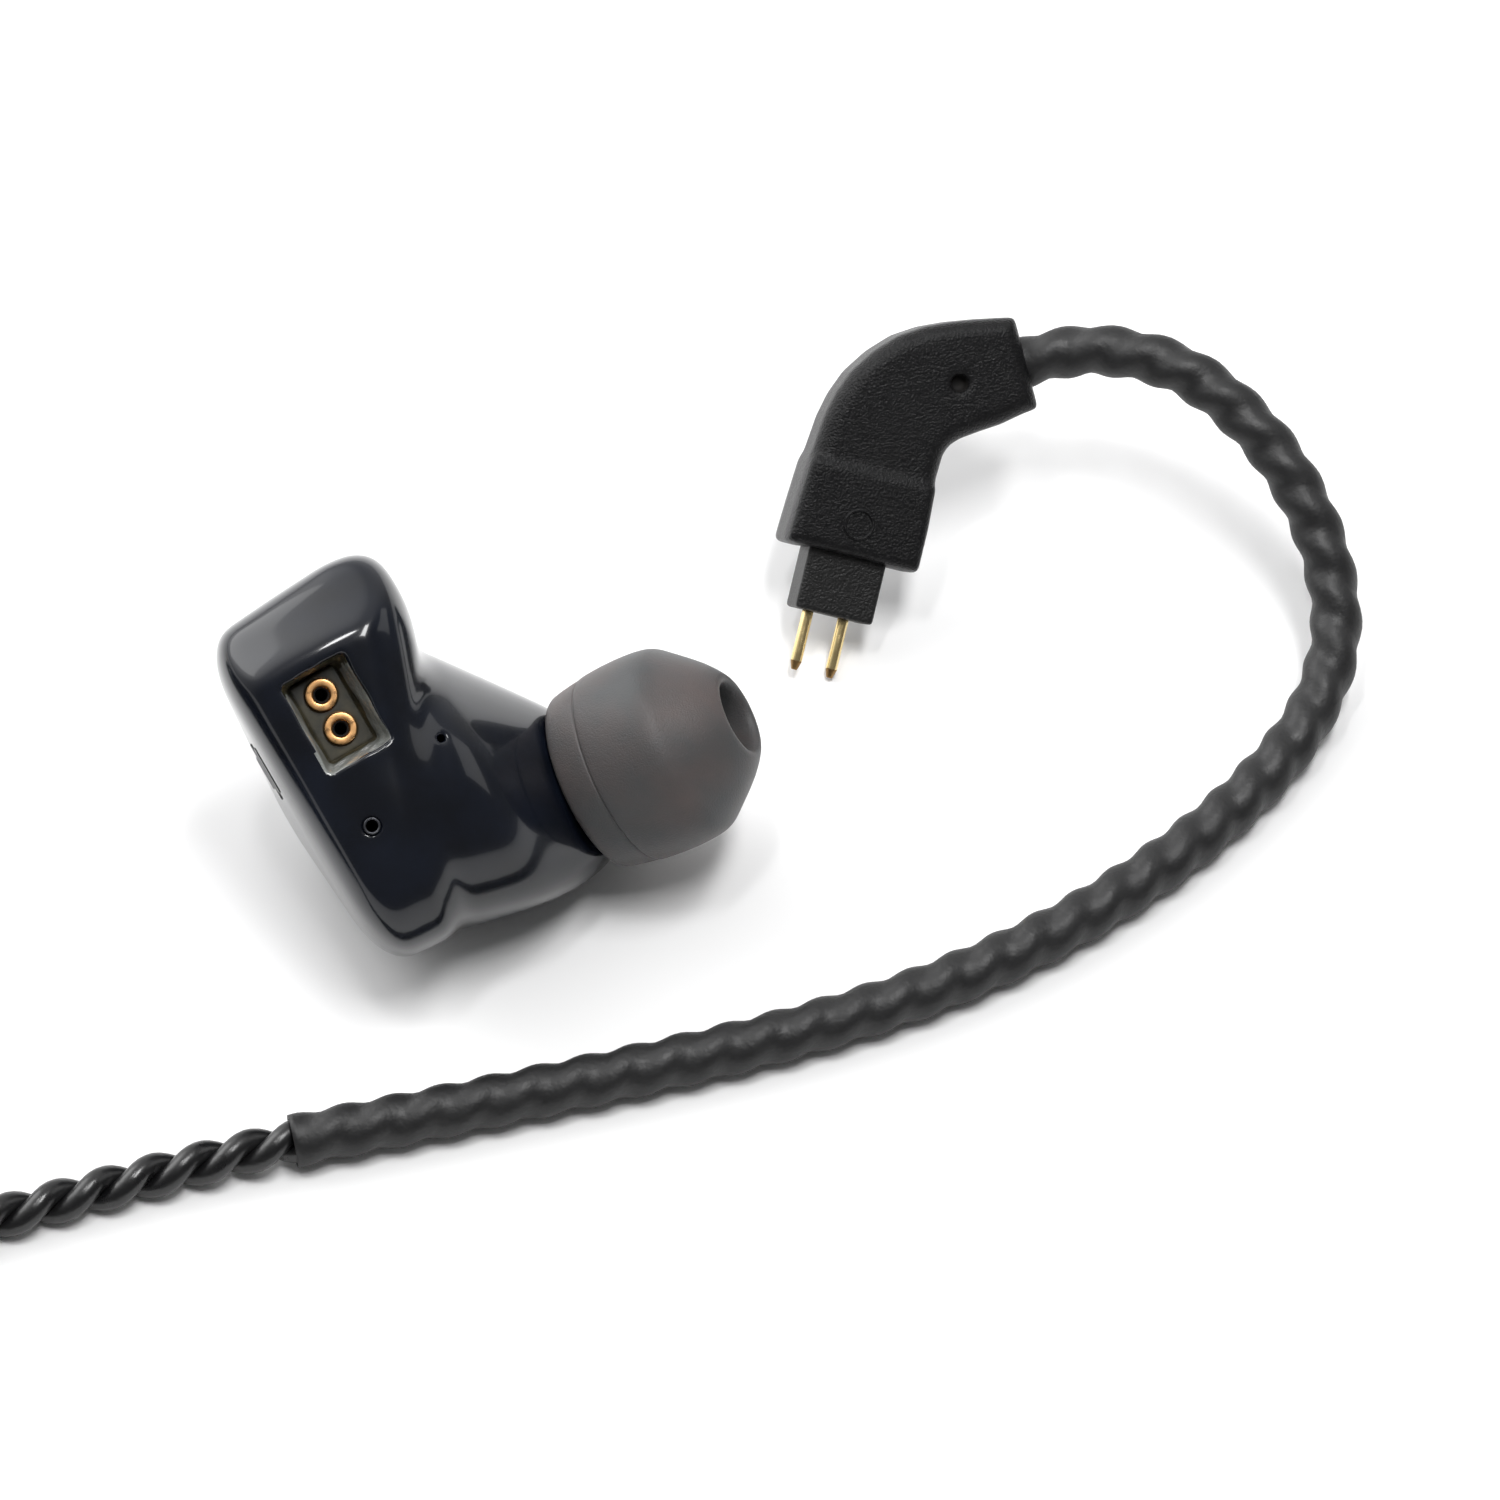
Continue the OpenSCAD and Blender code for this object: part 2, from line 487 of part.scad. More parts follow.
// ---------- Left plug, flat on the coil, and the audio plug beside the coil ----------
left_plug_turn = -31;
arm_end = [9.15, 0, 15.6];
module left_plug() translate(round_coil(left_r(hook_left_to), hook_left_to, coil_top + face_y + 0.05))
    rotate([0, 0, left_plug_turn]) rotate([-90, 0, 0]) translate(-arm_end) children();
module plug_housing_left() left_plug() housing_shape();
module plug_insert_left() left_plug() insert_shape();
module plug_pins_left() left_plug() pins_shape();
module plug_marker_left() left_plug() bar_mark();

module on_jack() translate(coil_at + [-37.5, 11.5, barrel_d / 2]) rotate([-90, 0, 0]) children();
relief_length = 8;
jack_at = relief_length + barrel_length;
module jack_strain_relief() color("black") on_jack() cylinder(h = relief_length, r1 = 1.9, r2 = 2.6, $fn = fine);
module jack_barrel() color("silver") on_jack() translate([0, 0, relief_length]) rotate_extrude($fn = fine)
    polygon([[0, 0], [2.9, 0], [barrel_d / 2, 0.5], [barrel_d / 2, barrel_length - 1.5], [2.6, barrel_length], [0, barrel_length]]);
jack_r = jack_d / 2;
module jack_sleeve() color("gold") on_jack() translate([0, 0, jack_at]) cylinder(h = 6.2, r = jack_r, $fn = fine);
module jack_ring() color("gold") on_jack() translate([0, 0, jack_at + 6.9]) cylinder(h = 2.3, r = jack_r, $fn = fine);
module jack_tip() color("gold") on_jack() translate([0, 0, jack_at + 9.9]) rotate_extrude($fn = fine)
    polygon([[0, 0], [jack_r, 0], [jack_r, 1.2], [jack_r - 0.45, 1.9], [jack_r - 0.1, 2.6], [0.5, 4.1], [0, 4.1]]);
module jack_insulators() color("black") on_jack() for (z = [6.2, 9.2])
    translate([0, 0, jack_at + z]) cylinder(h = 0.7, r = jack_r, $fn = fine);

shell();
faceplate();
faceplate_mark();
nozzle();
nozzle_screen();
vent_ring();
ear_tip();
socket_block();
contact_sleeves();
crossover_board();
crossover_parts();
low_driver_frame();
low_driver_magnet();
low_driver_coil();
low_driver_diaphragm();
mid_driver();
high_driver();
low_tube();
mid_high_tube();
acoustic_dampers();
socket_leads();
driver_leads();
plug_housing_right();
plug_insert_right();
plug_pins_right();
plug_marker_right();
ear_hook_right();
cable_right();
chin_slider();
y_split();
cable_left();
ear_hook_left();
plug_housing_left();
plug_insert_left();
plug_pins_left();
plug_marker_left();
main_coil();
main_leads();
coil_tie();
jack_strain_relief();
jack_barrel();
jack_sleeve();
jack_ring();
jack_tip();
jack_insulators();
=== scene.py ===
import math

import bmesh
import bpy
import numpy as np
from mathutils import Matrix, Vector


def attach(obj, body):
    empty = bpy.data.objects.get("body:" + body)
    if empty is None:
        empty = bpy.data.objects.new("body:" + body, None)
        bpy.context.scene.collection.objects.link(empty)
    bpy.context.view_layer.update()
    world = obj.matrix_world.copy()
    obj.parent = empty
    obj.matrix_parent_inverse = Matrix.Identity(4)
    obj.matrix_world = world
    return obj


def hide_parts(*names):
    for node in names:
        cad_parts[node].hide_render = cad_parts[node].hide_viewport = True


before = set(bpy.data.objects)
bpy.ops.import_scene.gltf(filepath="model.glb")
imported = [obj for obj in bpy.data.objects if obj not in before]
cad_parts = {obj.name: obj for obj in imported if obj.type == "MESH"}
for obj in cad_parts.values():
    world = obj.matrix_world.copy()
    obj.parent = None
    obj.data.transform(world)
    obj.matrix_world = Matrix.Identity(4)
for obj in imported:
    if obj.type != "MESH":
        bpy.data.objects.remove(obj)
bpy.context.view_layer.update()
MM = 0.001


def unit(v):
    v = np.asarray(v, float)
    return v / np.linalg.norm(v)


def rot(axis, degrees):
    c, s = math.cos(math.radians(degrees)), math.sin(math.radians(degrees))
    return np.array({"x": [[1, 0, 0], [0, c, -s], [0, s, c]],
                     "y": [[c, 0, s], [0, 1, 0], [-s, 0, c]],
                     "z": [[c, -s, 0], [s, c, 0], [0, 0, 1]]}[axis])


# ---------------------------------------------------------------- camera
VIEW_ELEVATION, LENS, CAMERA_AWAY = 55, 183.6, 0.5
AIM = np.array([16.85, 1.93, 12.12]) * MM
view_angle = math.radians(VIEW_ELEVATION)
camera_data = bpy.data.cameras.new("camera")
camera_data.lens = LENS
camera_data.clip_start = 0.01
camera = bpy.data.objects.new("camera", camera_data)
bpy.context.scene.collection.objects.link(camera)
camera.location = AIM + CAMERA_AWAY * np.array([0, -math.cos(view_angle), math.sin(view_angle)])
camera.rotation_euler = (math.radians(90 - VIEW_ELEVATION), 0, 0)
bpy.context.scene.camera = camera
bpy.context.scene.view_settings.view_transform = "Standard"


# ---------------------------------------------------------------- materials
def material(name, color, roughness=0.5, metallic=0.0, coat=0.0, coat_roughness=0.03, specular=0.5,
             **extra):
    m = bpy.data.materials.new(name)
    m.use_nodes = True
    b = m.node_tree.nodes["Principled BSDF"]
    b.inputs["Base Color"].default_value = (*color, 1)
    b.inputs["Roughness"].default_value = roughness
    b.inputs["Metallic"].default_value = metallic
    b.inputs["Coat Weight"].default_value = coat
    b.inputs["Coat Roughness"].default_value = coat_roughness
    b.inputs["Specular IOR Level"].default_value = specular
    for key, value in extra.items():
        b.inputs[key.replace("_", " ")].default_value = value
    return m


def node(m, kind, **values):
    n = m.node_tree.nodes.new(kind)
    for key, value in values.items():
        if key in n.inputs:
            n.inputs[key].default_value = value
        else:
            setattr(n, key, value)
    return n


def link(m, a, b):
    m.node_tree.links.new(a, b)


def bumped(m, scale, distance, detail=4.0, strength=1.0, stretch=None):
    """Fine grain in the surface: noise of that scale (per metre), raised by distance in metres."""
    b = m.node_tree.nodes["Principled BSDF"]
    place = node(m, "ShaderNodeTexCoord")
    noise = node(m, "ShaderNodeTexNoise", Scale=scale, Detail=detail)
    bump = node(m, "ShaderNodeBump", Strength=strength, Distance=distance)
    if stretch:
        mapping = node(m, "ShaderNodeMapping", Scale=stretch)
        link(m, place.outputs["Object"], mapping.inputs["Vector"])
        link(m, mapping.outputs["Vector"], noise.inputs["Vector"])
    else:
        link(m, place.outputs["Object"], noise.inputs["Vector"])
    link(m, noise.outputs["Fac"], bump.inputs["Height"])
    link(m, bump.outputs["Normal"], b.inputs["Normal"])
    return m


def mottled(m, socket, scale, low, high, detail=3.0):
    """Noise drives that socket of the shader between two values or colours."""
    b = m.node_tree.nodes["Principled BSDF"]
    place = node(m, "ShaderNodeTexCoord")
    noise = node(m, "ShaderNodeTexNoise", Scale=scale, Detail=detail)
    link(m, place.outputs["Object"], noise.inputs["Vector"])
    if isinstance(low, tuple):
        ramp = node(m, "ShaderNodeValToRGB")
        ramp.color_ramp.elements[0].position, ramp.color_ramp.elements[1].position = 0.35, 0.65
        ramp.color_ramp.elements[0].color, ramp.color_ramp.elements[1].color = (*low, 1), (*high, 1)
        link(m, noise.outputs["Fac"], ramp.inputs["Fac"])
        link(m, ramp.outputs["Color"], b.inputs[socket])
    else:
        spread = node(m, "ShaderNodeMapRange")
        spread.inputs["From Min"].default_value, spread.inputs["From Max"].default_value = 0.3, 0.7
        spread.inputs["To Min"].default_value, spread.inputs["To Max"].default_value = low, high
        link(m, noise.outputs["Fac"], spread.inputs["Value"])
        link(m, spread.outputs["Result"], b.inputs[socket])
    return m


resin = mottled(material("shell_resin", (0.006, 0.009, 0.018), 0.2, coat=0.52, coat_roughness=0.06,
                         specular=0.22),
                "Base Color", 260, (0.003, 0.004, 0.007), (0.005, 0.007, 0.013))
recess_resin = bumped(material("recess_resin", (0.20, 0.21, 0.20), 0.28, coat=0.6, specular=0.5), 1500,
                      0.00018)
mark_ink = bumped(mottled(material("mark_ink", (0.004, 0.004, 0.005), 0.3, coat=0.5), "Base Color", 1500,
                          (0.003, 0.003, 0.004), (0.008, 0.008, 0.009)), 4000, 0.00003, 2.0)
silicone = mottled(material("tip_silicone", (0.085, 0.081, 0.08), 0.45, specular=0.35,
                            Subsurface_Weight=0.25),
                   "Base Color", 150, (0.062, 0.064, 0.066), (0.092, 0.075, 0.072))
bumped(silicone, 9000, 0.000035, 2.0)
silicone_shader = silicone.node_tree.nodes["Principled BSDF"]
silicone_shader.inputs["Subsurface Radius"].default_value = (0.0012, 0.0008, 0.0007)
steel = mottled(material("driver_steel", (0.55, 0.55, 0.56), 0.3, metallic=1.0), "Roughness", 900, 0.22,
                0.42)
screen_steel = bumped(material("screen_steel", (0.5, 0.5, 0.5), 0.35, metallic=1.0), 4000, 0.0001)
vent_metal = mottled(material("vent_metal", (0.05, 0.052, 0.06), 0.35, metallic=0.6), "Roughness", 2000,
                     0.15, 0.35)
olive = mottled(material("socket_olive", (0.03, 0.028, 0.016), 0.35, coat=0.4), "Base Color", 900,
                (0.018, 0.017, 0.010), (0.05, 0.043, 0.022))
gold_dull = mottled(material("contact_gold", (0.72, 0.40, 0.17), 0.34, metallic=1.0), "Roughness", 1800,
                    0.22, 0.45)
gold = mottled(material("pin_gold", (0.92, 0.72, 0.36), 0.2, metallic=1.0), "Roughness", 1200, 0.14, 0.3)
bronze = mottled(material("pin_end", (0.28, 0.17, 0.07), 0.45, metallic=1.0), "Roughness", 1200, 0.35, 0.55)
# Painted shade: a near-black colour given to the faces inside holes (the contact bores and the gate mark's
# hole) so they read as shadowed.
hole_painted_shade = mottled(material("hole_painted_shade", (0.003, 0.003, 0.003), 0.8), "Base Color", 1500,
                    (0.002, 0.002, 0.002), (0.008, 0.006, 0.004))
housing = bumped(material("housing_black", (0.0055, 0.0055, 0.006), 0.32, specular=0.2), 6500, 0.00009, 2.0)
insert_black = bumped(material("insert_black", (0.005, 0.005, 0.005), 0.42, specular=0.35), 6500, 0.00008,
                      2.0)
sleeve_black = bumped(mottled(material("hook_sleeve", (0.0085, 0.0085, 0.009), 0.5, specular=0.5),
                              "Roughness", 700, 0.44, 0.56),
                      2600, 0.00004, 3.0)
strand_black = bumped(mottled(material("strand_black", (0.005, 0.005, 0.0055), 0.3, specular=0.6),
                              "Roughness", 500, 0.24, 0.36),
                      1500, 0.00003, 2.0)
fitting_black = mottled(material("fitting_black", (0.016, 0.016, 0.017), 0.25, specular=0.5), "Roughness",
                        600, 0.18, 0.34)
tie_black = bumped(material("tie_black", (0.02, 0.02, 0.02), 0.6), 3000, 0.00008)
barrel_black = mottled(material("barrel_black", (0.045, 0.045, 0.05), 0.3, metallic=1.0), "Roughness", 1200,
                       0.24, 0.36)
table_white = mottled(material("table_white", (0.93, 0.93, 0.93), 0.55, specular=0.2), "Base Color", 12,
                      (0.925, 0.925, 0.927), (0.935, 0.935, 0.935))


# ---------------------------------------------------------------- meshes
def mesh_object(name, points, faces, materials, normals=None, face_material=None):
    """A smooth-shaded mesh from points in millimetres."""
    me = bpy.data.meshes.new(name)
    points = np.asarray(points, float) * MM
    me.vertices.add(len(points))
    me.vertices.foreach_set("co", points.ravel())
    if isinstance(faces, np.ndarray):
        me.loops.add(faces.size)
        me.loops.foreach_set("vertex_index", faces.ravel())
        me.polygons.add(len(faces))
        me.polygons.foreach_set("loop_start", np.arange(0, faces.size, faces.shape[1]))
    else:
        me.loops.add(sum(len(f) for f in faces))
        me.loops.foreach_set("vertex_index", [i for f in faces for i in f])
        me.polygons.add(len(faces))
        me.polygons.foreach_set("loop_start", np.cumsum([0] + [len(f) for f in faces[:-1]]))
    me.update(calc_edges=True)
    me.validate()
    me.polygons.foreach_set("use_smooth", np.ones(len(me.polygons), bool))
    for m in materials:
        me.materials.append(m)
    if face_material is not None:
        me.polygons.foreach_set("material_index", np.asarray(face_material, np.int32))
    if normals is not None:
        me.normals_split_custom_set_from_vertices(normals.tolist())
    o = bpy.data.objects.new(name, me)
    bpy.context.scene.collection.objects.link(o)
    return o


def smooth_path(points, step):
    """An even line through the points (Catmull-Rom), with points step apart."""
    p = np.asarray(points, float)
    p = np.vstack([2 * p[0] - p[1], p, 2 * p[-1] - p[-2]])
    fine = []
    for i in range(1, len(p) - 2):
        a, b, c, d = p[i - 1:i + 3]
        for t in np.linspace(0, 1, 24, endpoint=False):
            fine.append(0.5 * (2 * b + (c - a) * t + (2 * a - 5 * b + 4 * c - d) * t * t
                               + (3 * b - a - 3 * c + d) * t ** 3))
    fine = np.array(fine + [p[-2]])
    for _ in range(12):
        fine[1:-1] = (fine[:-2] + 2 * fine[1:-1] + fine[2:]) / 4
    along = np.concatenate([[0], np.cumsum(np.linalg.norm(np.diff(fine, axis=0), axis=1))])
    at = np.linspace(0, along[-1], int(along[-1] / step) + 2)
    return np.stack([np.interp(at, along, fine[:, k]) for k in range(3)], 1), at


def frames(line):
    """Tangent, normal and binormal along a line, without twist."""
    t = np.gradient(line, axis=0)
    t /= np.linalg.norm(t, axis=1)[:, None]
    n = np.zeros_like(t)
    n[0] = unit(np.cross([0, 0, 1], t[0]) if abs(t[0][2]) < 0.95 else np.cross([1, 0, 0], t[0]))
    for i in range(1, len(line)):
        v = n[i - 1] - t[i] * (n[i - 1] @ t[i])
        n[i] = v / np.linalg.norm(v)
    return t, n, np.cross(t, n)


def tube_faces(rings, sides, start=0, closed_ends=True):
    i = np.arange(rings - 1)[:, None] * sides
    k = np.arange(sides)[None, :]
    m = (k + 1) % sides
    quads = np.stack([i + k, i + m, i + sides + m, i + sides + k], -1).reshape(-1, 4) + start
    faces = quads.tolist()
    if closed_ends:
        faces.append([start + k for k in range(sides - 1, -1, -1)])
        faces.append([start + (rings - 1) * sides + k for k in range(sides)])
    return faces


def swept(line, radius, sides, center=None, n=None, b=None):
    """Rings of points round a line: radius is a number, or a function of (index, angle)."""
    if n is None:
        _, n, b = frames(line)
    a = np.linspace(0, 2 * np.pi, sides, endpoint=False)
    c = line if center is None else center
    r = radius if not callable(radius) else radius(np.arange(len(line))[:, None], a[None, :])
    r = np.broadcast_to(r, (len(line), sides))
    return (c[:, None] + (r * np.cos(a))[..., None] * n[:, None] + (r * np.sin(a))[..., None]
            * b[:, None]).reshape(-1, 3)


def strands(line, along, count, strand_r, offset, pitch, sides, turn=0.0):
    """Twisted strands round a line: points and faces. The twist is left-handed."""
    _, n, b = frames(line)
    points, faces = [], []
    for k in range(count):
        phase = -2 * np.pi * along / pitch + 2 * np.pi * k / count + turn
        center = line + offset * (np.cos(phase)[:, None] * n + np.sin(phase)[:, None] * b)
        faces += tube_faces(len(line), sides, sum(len(p) for p in points))
        points.append(swept(center, strand_r, sides))
    return np.vstack(points), faces


def revolved(name, profile, materials, place=np.eye(3), at=(0, 0, 0), sides=96, closed=True,
             face_rows=None):
    """A profile of (r, z) points turned round Z, then placed."""
    profile = np.asarray(profile, float)
    a = np.linspace(0, 2 * np.pi, sides, endpoint=False)
    pts = np.stack([profile[:, 0, None] * np.cos(a), profile[:, 0, None] * np.sin(a),
                    np.broadcast_to(profile[:, 1, None], (len(profile), sides))], -1).reshape(-1, 3)
    rows = len(profile)
    faces, kinds = [], []
    for i in range(rows if closed else rows - 1):
        j = (i + 1) % rows
        for k in range(sides):
            m = (k + 1) % sides
            faces.append([i * sides + k, i * sides + m, j * sides + m, j * sides + k])
            kinds.append(0 if face_rows is None else face_rows[i])
    return mesh_object(name, pts @ np.asarray(place).T + np.asarray(at), np.array(faces), materials,
                       face_material=kinds)


def rounded_profile(points, radius=0.15, steps=4, closed=True):
    """The outline again with its corners cut by small arcs."""
    p = np.asarray(points, float)
    out = []
    for i in range(len(p)):
        if not closed and i in (0, len(p) - 1):
            out.append(p[i])
            continue
        a, b, c = p[i - 1], p[i], p[(i + 1) % len(p)]
        la, lc = np.linalg.norm(a - b), np.linalg.norm(c - b)
        r = min(radius, la * 0.45, lc * 0.45)
        s, e = b + (a - b) / la * r, b + (c - b) / lc * r
        for t in np.linspace(0, 1, steps):
            out.append((1 - t) ** 2 * s + 2 * t * (1 - t) * b + t * t * e)
    return out


def ride_as(o, body, slot_name, *nodes):
    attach(o, body)
    if nodes:
        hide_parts(*nodes)
    return o


# ---------------------------------------------------------------- cords
TIE_THICK, MAIN_D, PAIR_D, HOOK_D = 0.5, 3.2, 2.9, 3.5
COIL = np.array([-73.5, -9.5, 0])
COIL_TOP = TIE_THICK + 2 * MAIN_D
LANE_LEFT, LANE_RIGHT = 26.8, 29.8
LANE_Z = TIE_THICK + PAIR_D / 2
HOOK_LEFT_FROM, HOOK_LEFT_TO, TURN_IN_FROM = 813, 1145, 1085
FACE_Y = 2.7
HOOK_RIGHT = [[35.6, 34.6, 11.4], [38.6, 35, 12], [41.8, 34.5, 12.6], [46, 33, 12.6], [50, 30.2, 11.4],
              [53.4, 26.5, 9.2], [55.7, 22, 6.4], [56.3, 17, 3.9], [54.5, 11.8, 2.3], [50.5, 6.2, 1.75],
              [44.5, 0.2, 1.75], [37, -5.4, 1.75], [28.5, -10, 1.75], [19.5, -13.4, 1.75],
              [10.5, -16, 1.75],
              [1.5, -18.3, 1.75], [-5.5, -20, 1.75], [-13, -21.8, 1.75]]
PAIR_RIGHT = [[-21.5, -24.1, 1.45], [-31.5, -27.3, 1.45], [-42.5, -30.9, 1.6], [-53.5, -34.4, 1.8]]
STRAND_R, STRAND_OFFSET, PAIR_PITCH = 0.80, 0.67, 6.4
MAIN_STRAND_R, MAIN_STRAND_OFFSET, MAIN_PITCH = 0.70, 0.88, 8.5
HOOK_R, HOOK_LOBE, HOOK_WALL = 1.52, 0.27, 0.24


def round_coil(r, a, z):
    return COIL + [r * math.cos(math.radians(a)), r * math.sin(math.radians(a)), z]


def blend(a, low, high):
    x = min(1, max(0, (a - low) / (high - low)))
    return x * x * (3 - 2 * x)


def left_r(a):
    if a < 655:
        return LANE_LEFT
    if a < 700:
        return LANE_LEFT - 4.8 * blend(a, 655, 700)
    return 22 - 3.6 * (a - 700) / 360 - 3 * (max(0, a - TURN_IN_FROM) / 60) ** 2


def left_z(a):
    return LANE_Z + (COIL_TOP + PAIR_D / 2 - LANE_Z) * blend(a, 590, 655)


right_route = [[32.4, 33.6, 10.7], [34, 34.15, 11.05]] + HOOK_RIGHT + PAIR_RIGHT
right_route += [round_coil(LANE_RIGHT, a, LANE_Z) for a in np.arange(287.5, -9, -7.5)]
right_route.append(round_coil(29.9, -13.5, LANE_Z))
left_cable_route = [round_coil(27.1, -13.5, LANE_Z)]
left_cable_route += [round_coil(left_r(a), a, left_z(a)) for a in np.arange(352, 812, 7.5)]
left_hook_route = [round_coil(left_r(a), a, COIL_TOP + HOOK_D / 2 + 0.95
                              * blend(a, TURN_IN_FROM, HOOK_LEFT_TO))
                   for a in np.linspace(HOOK_LEFT_FROM, HOOK_LEFT_TO, 45)]
left_route = left_cable_route + left_hook_route
EXIT_LEAD = [[-20.5, -12.2, 5.3], [-25.7, -7.5, 5.3], [-31, -2.5, 5.3], [-34.6, 1.9, 4.8],
             [-36.8, 6.5, 3.8], [-37.5, 11.5, 3.2]]
COIL_R, COIL_START, COIL_PITCH, COIL_CLIMB = 22.8, 262, 2.95, 0.4
coil_turns = 7 + (COIL_START - 227.8) / 360
lead_in = [round_coil(COIL_R + 5.5 * blend(a, 255, 312), a, TIE_THICK + MAIN_D / 2)
           for a in np.arange(307, COIL_START, -7.5)]
coil_part = []
for t in np.arange(0, coil_turns + 0.001, 1 / 40):
    inward, outward = min(t, coil_turns / 2), max(0, t - coil_turns / 2)
    lift = blend(t, coil_turns / 2 - COIL_CLIMB / 2, coil_turns / 2 + COIL_CLIMB / 2)
    coil_part.append(round_coil(COIL_R - COIL_PITCH * (inward - outward), COIL_START - 360 * t,
                                TIE_THICK + MAIN_D / 2 + MAIN_D * lift))
main_route = lead_in + coil_part + [COIL + p for p in EXIT_LEAD]


def hook_sleeve(name, line, along, turn):
    """The formed ear hook: a sleeve shrunk over the twisted pair, so it is oval and turns with the pair."""
    sides = 40
    a = np.linspace(0, 2 * np.pi, sides, endpoint=False)[None, :]
    _, n, b = frames(line)
    lobes = 0.5 + 0.5 * np.cos(2 * (a + 2 * np.pi * along[:, None] / PAIR_PITCH - turn))
    radius = HOOK_R + HOOK_LOBE * lobes ** 0.85
    outer = swept(line, lambda i, t: radius, sides, n=n, b=b).reshape(len(line), sides, 3)
    rims = []
    for part, order in ((slice(0, 6), -1), (slice(-6, None), 1)):
        inner = swept(line[part], lambda i, t: radius[part] - HOOK_WALL, sides, n=n[part],
                      b=b[part]).reshape(-1, sides, 3)
        rims.append(inner if order == -1 else inner[::-1])
    grid = np.concatenate([rims[0], outer, rims[1]])
    return mesh_object(name, grid.reshape(-1, 3), np.array(tube_faces(len(grid), sides, 0, False)),
                       [sleeve_black])


def twisted(name, line, along, count, strand_r, offset, pitch, sides, turn):
    points, faces = strands(line, along, count, strand_r, offset, pitch, sides, turn)
    return mesh_object(name, points, faces, [strand_black])


right_line, right_along = smooth_path(right_route, 0.36)
hook_count = int(np.argmin(np.linalg.norm(right_line - HOOK_RIGHT[-1], axis=1)))
TURN_RIGHT = 0.5
pair_right = twisted("pair_right", right_line, right_along, 2, STRAND_R, STRAND_OFFSET, PAIR_PITCH, 20,
                     TURN_RIGHT)
sleeve_right = hook_sleeve("sleeve_right", right_line[:hook_count], right_along[:hook_count], TURN_RIGHT)
left_line, left_along = smooth_path(left_route, 0.45)
hook_from = int(np.argmin(np.linalg.norm(left_line - left_hook_route[0], axis=1)))
pair_left = twisted("pair_left", left_line, left_along, 2, STRAND_R, STRAND_OFFSET, PAIR_PITCH, 12, 0)
sleeve_left = hook_sleeve("sleeve_left", left_line[hook_from:], left_along[hook_from:], 0)
main_line, main_along = smooth_path(main_route, 0.6)
main_cable = twisted("main_cable", main_line, main_along, 4, MAIN_STRAND_R, MAIN_STRAND_OFFSET, MAIN_PITCH,
                     10, 0)


# ---------------------------------------------------------------- solid shapes from fields
# A shape is a function of points in millimetres, below zero inside. It is sampled on a grid, read back
# through a cubic B-spline, and meshed with one vertex in each grid cell that the surface crosses.
def box_grid(low, high, step):
    axes = [np.arange(low[k], high[k] + step, step) for k in range(3)]
    return axes, np.stack(np.meshgrid(*axes, indexing="ij"), -1).reshape(-1, 3)


def sampled(shape, low, high, step):
    axes, points = box_grid(low, high, step)
    values = np.concatenate([shape(points[i:i + 60000]) for i in range(0, len(points), 60000)])
    return {"low": np.array([a[0] for a in axes]), "step": step,
            "v": values.reshape([len(a) for a in axes])}


def blurred(grid, sigma):
    s = sigma / grid["step"]
    reach = int(3 * s) + 1
    k = np.exp(-0.5 * (np.arange(-reach, reach + 1) / s) ** 2)
    k /= k.sum()
    v = grid["v"]
    for axis in range(3):
        padded = np.pad(v, [(reach, reach) if i == axis else (0, 0) for i in range(3)], mode="edge")
        v = sum(k[j] * np.take(padded, np.arange(j, j + v.shape[axis]), axis=axis) for j in range(len(k)))
    return {**grid, "v": v}


def read_grid(grid, p, slope=False):
    """The field at points, and its slope if asked, by cubic B-spline."""
    u = (p - grid["low"]) / grid["step"]
    size = np.array(grid["v"].shape)
    u = np.clip(u, 1.001, size - 2.001)
    base = np.floor(u).astype(int)
    f = u - base
    w = np.stack([(1 - f) ** 3, 3 * f ** 3 - 6 * f ** 2 + 4, -3 * f ** 3 + 3 * f ** 2 + 3 * f + 1,
                  f ** 3]) / 6
    d = np.stack([-(1 - f) ** 2, 3 * f ** 2 - 4 * f, -3 * f ** 2 + 2 * f + 1, f ** 2]) / 2
    flat = grid["v"].ravel()
    at = (base[:, 0] * size[1] + base[:, 1]) * size[2] + base[:, 2]
    value = np.zeros(len(p))
    grad = np.zeros((len(p), 3))
    for i in range(4):
        for j in range(4):
            for k in range(4):
                c = flat[at + ((i - 1) * size[1] + (j - 1)) * size[2] + (k - 1)]
                value += w[i, :, 0] * w[j, :, 1] * w[k, :, 2] * c
                if slope:
                    grad[:, 0] += d[i, :, 0] * w[j, :, 1] * w[k, :, 2] * c
                    grad[:, 1] += w[i, :, 0] * d[j, :, 1] * w[k, :, 2] * c
                    grad[:, 2] += w[i, :, 0] * w[j, :, 1] * d[k, :, 2] * c
    return (value, grad / grid["step"]) if slope else value


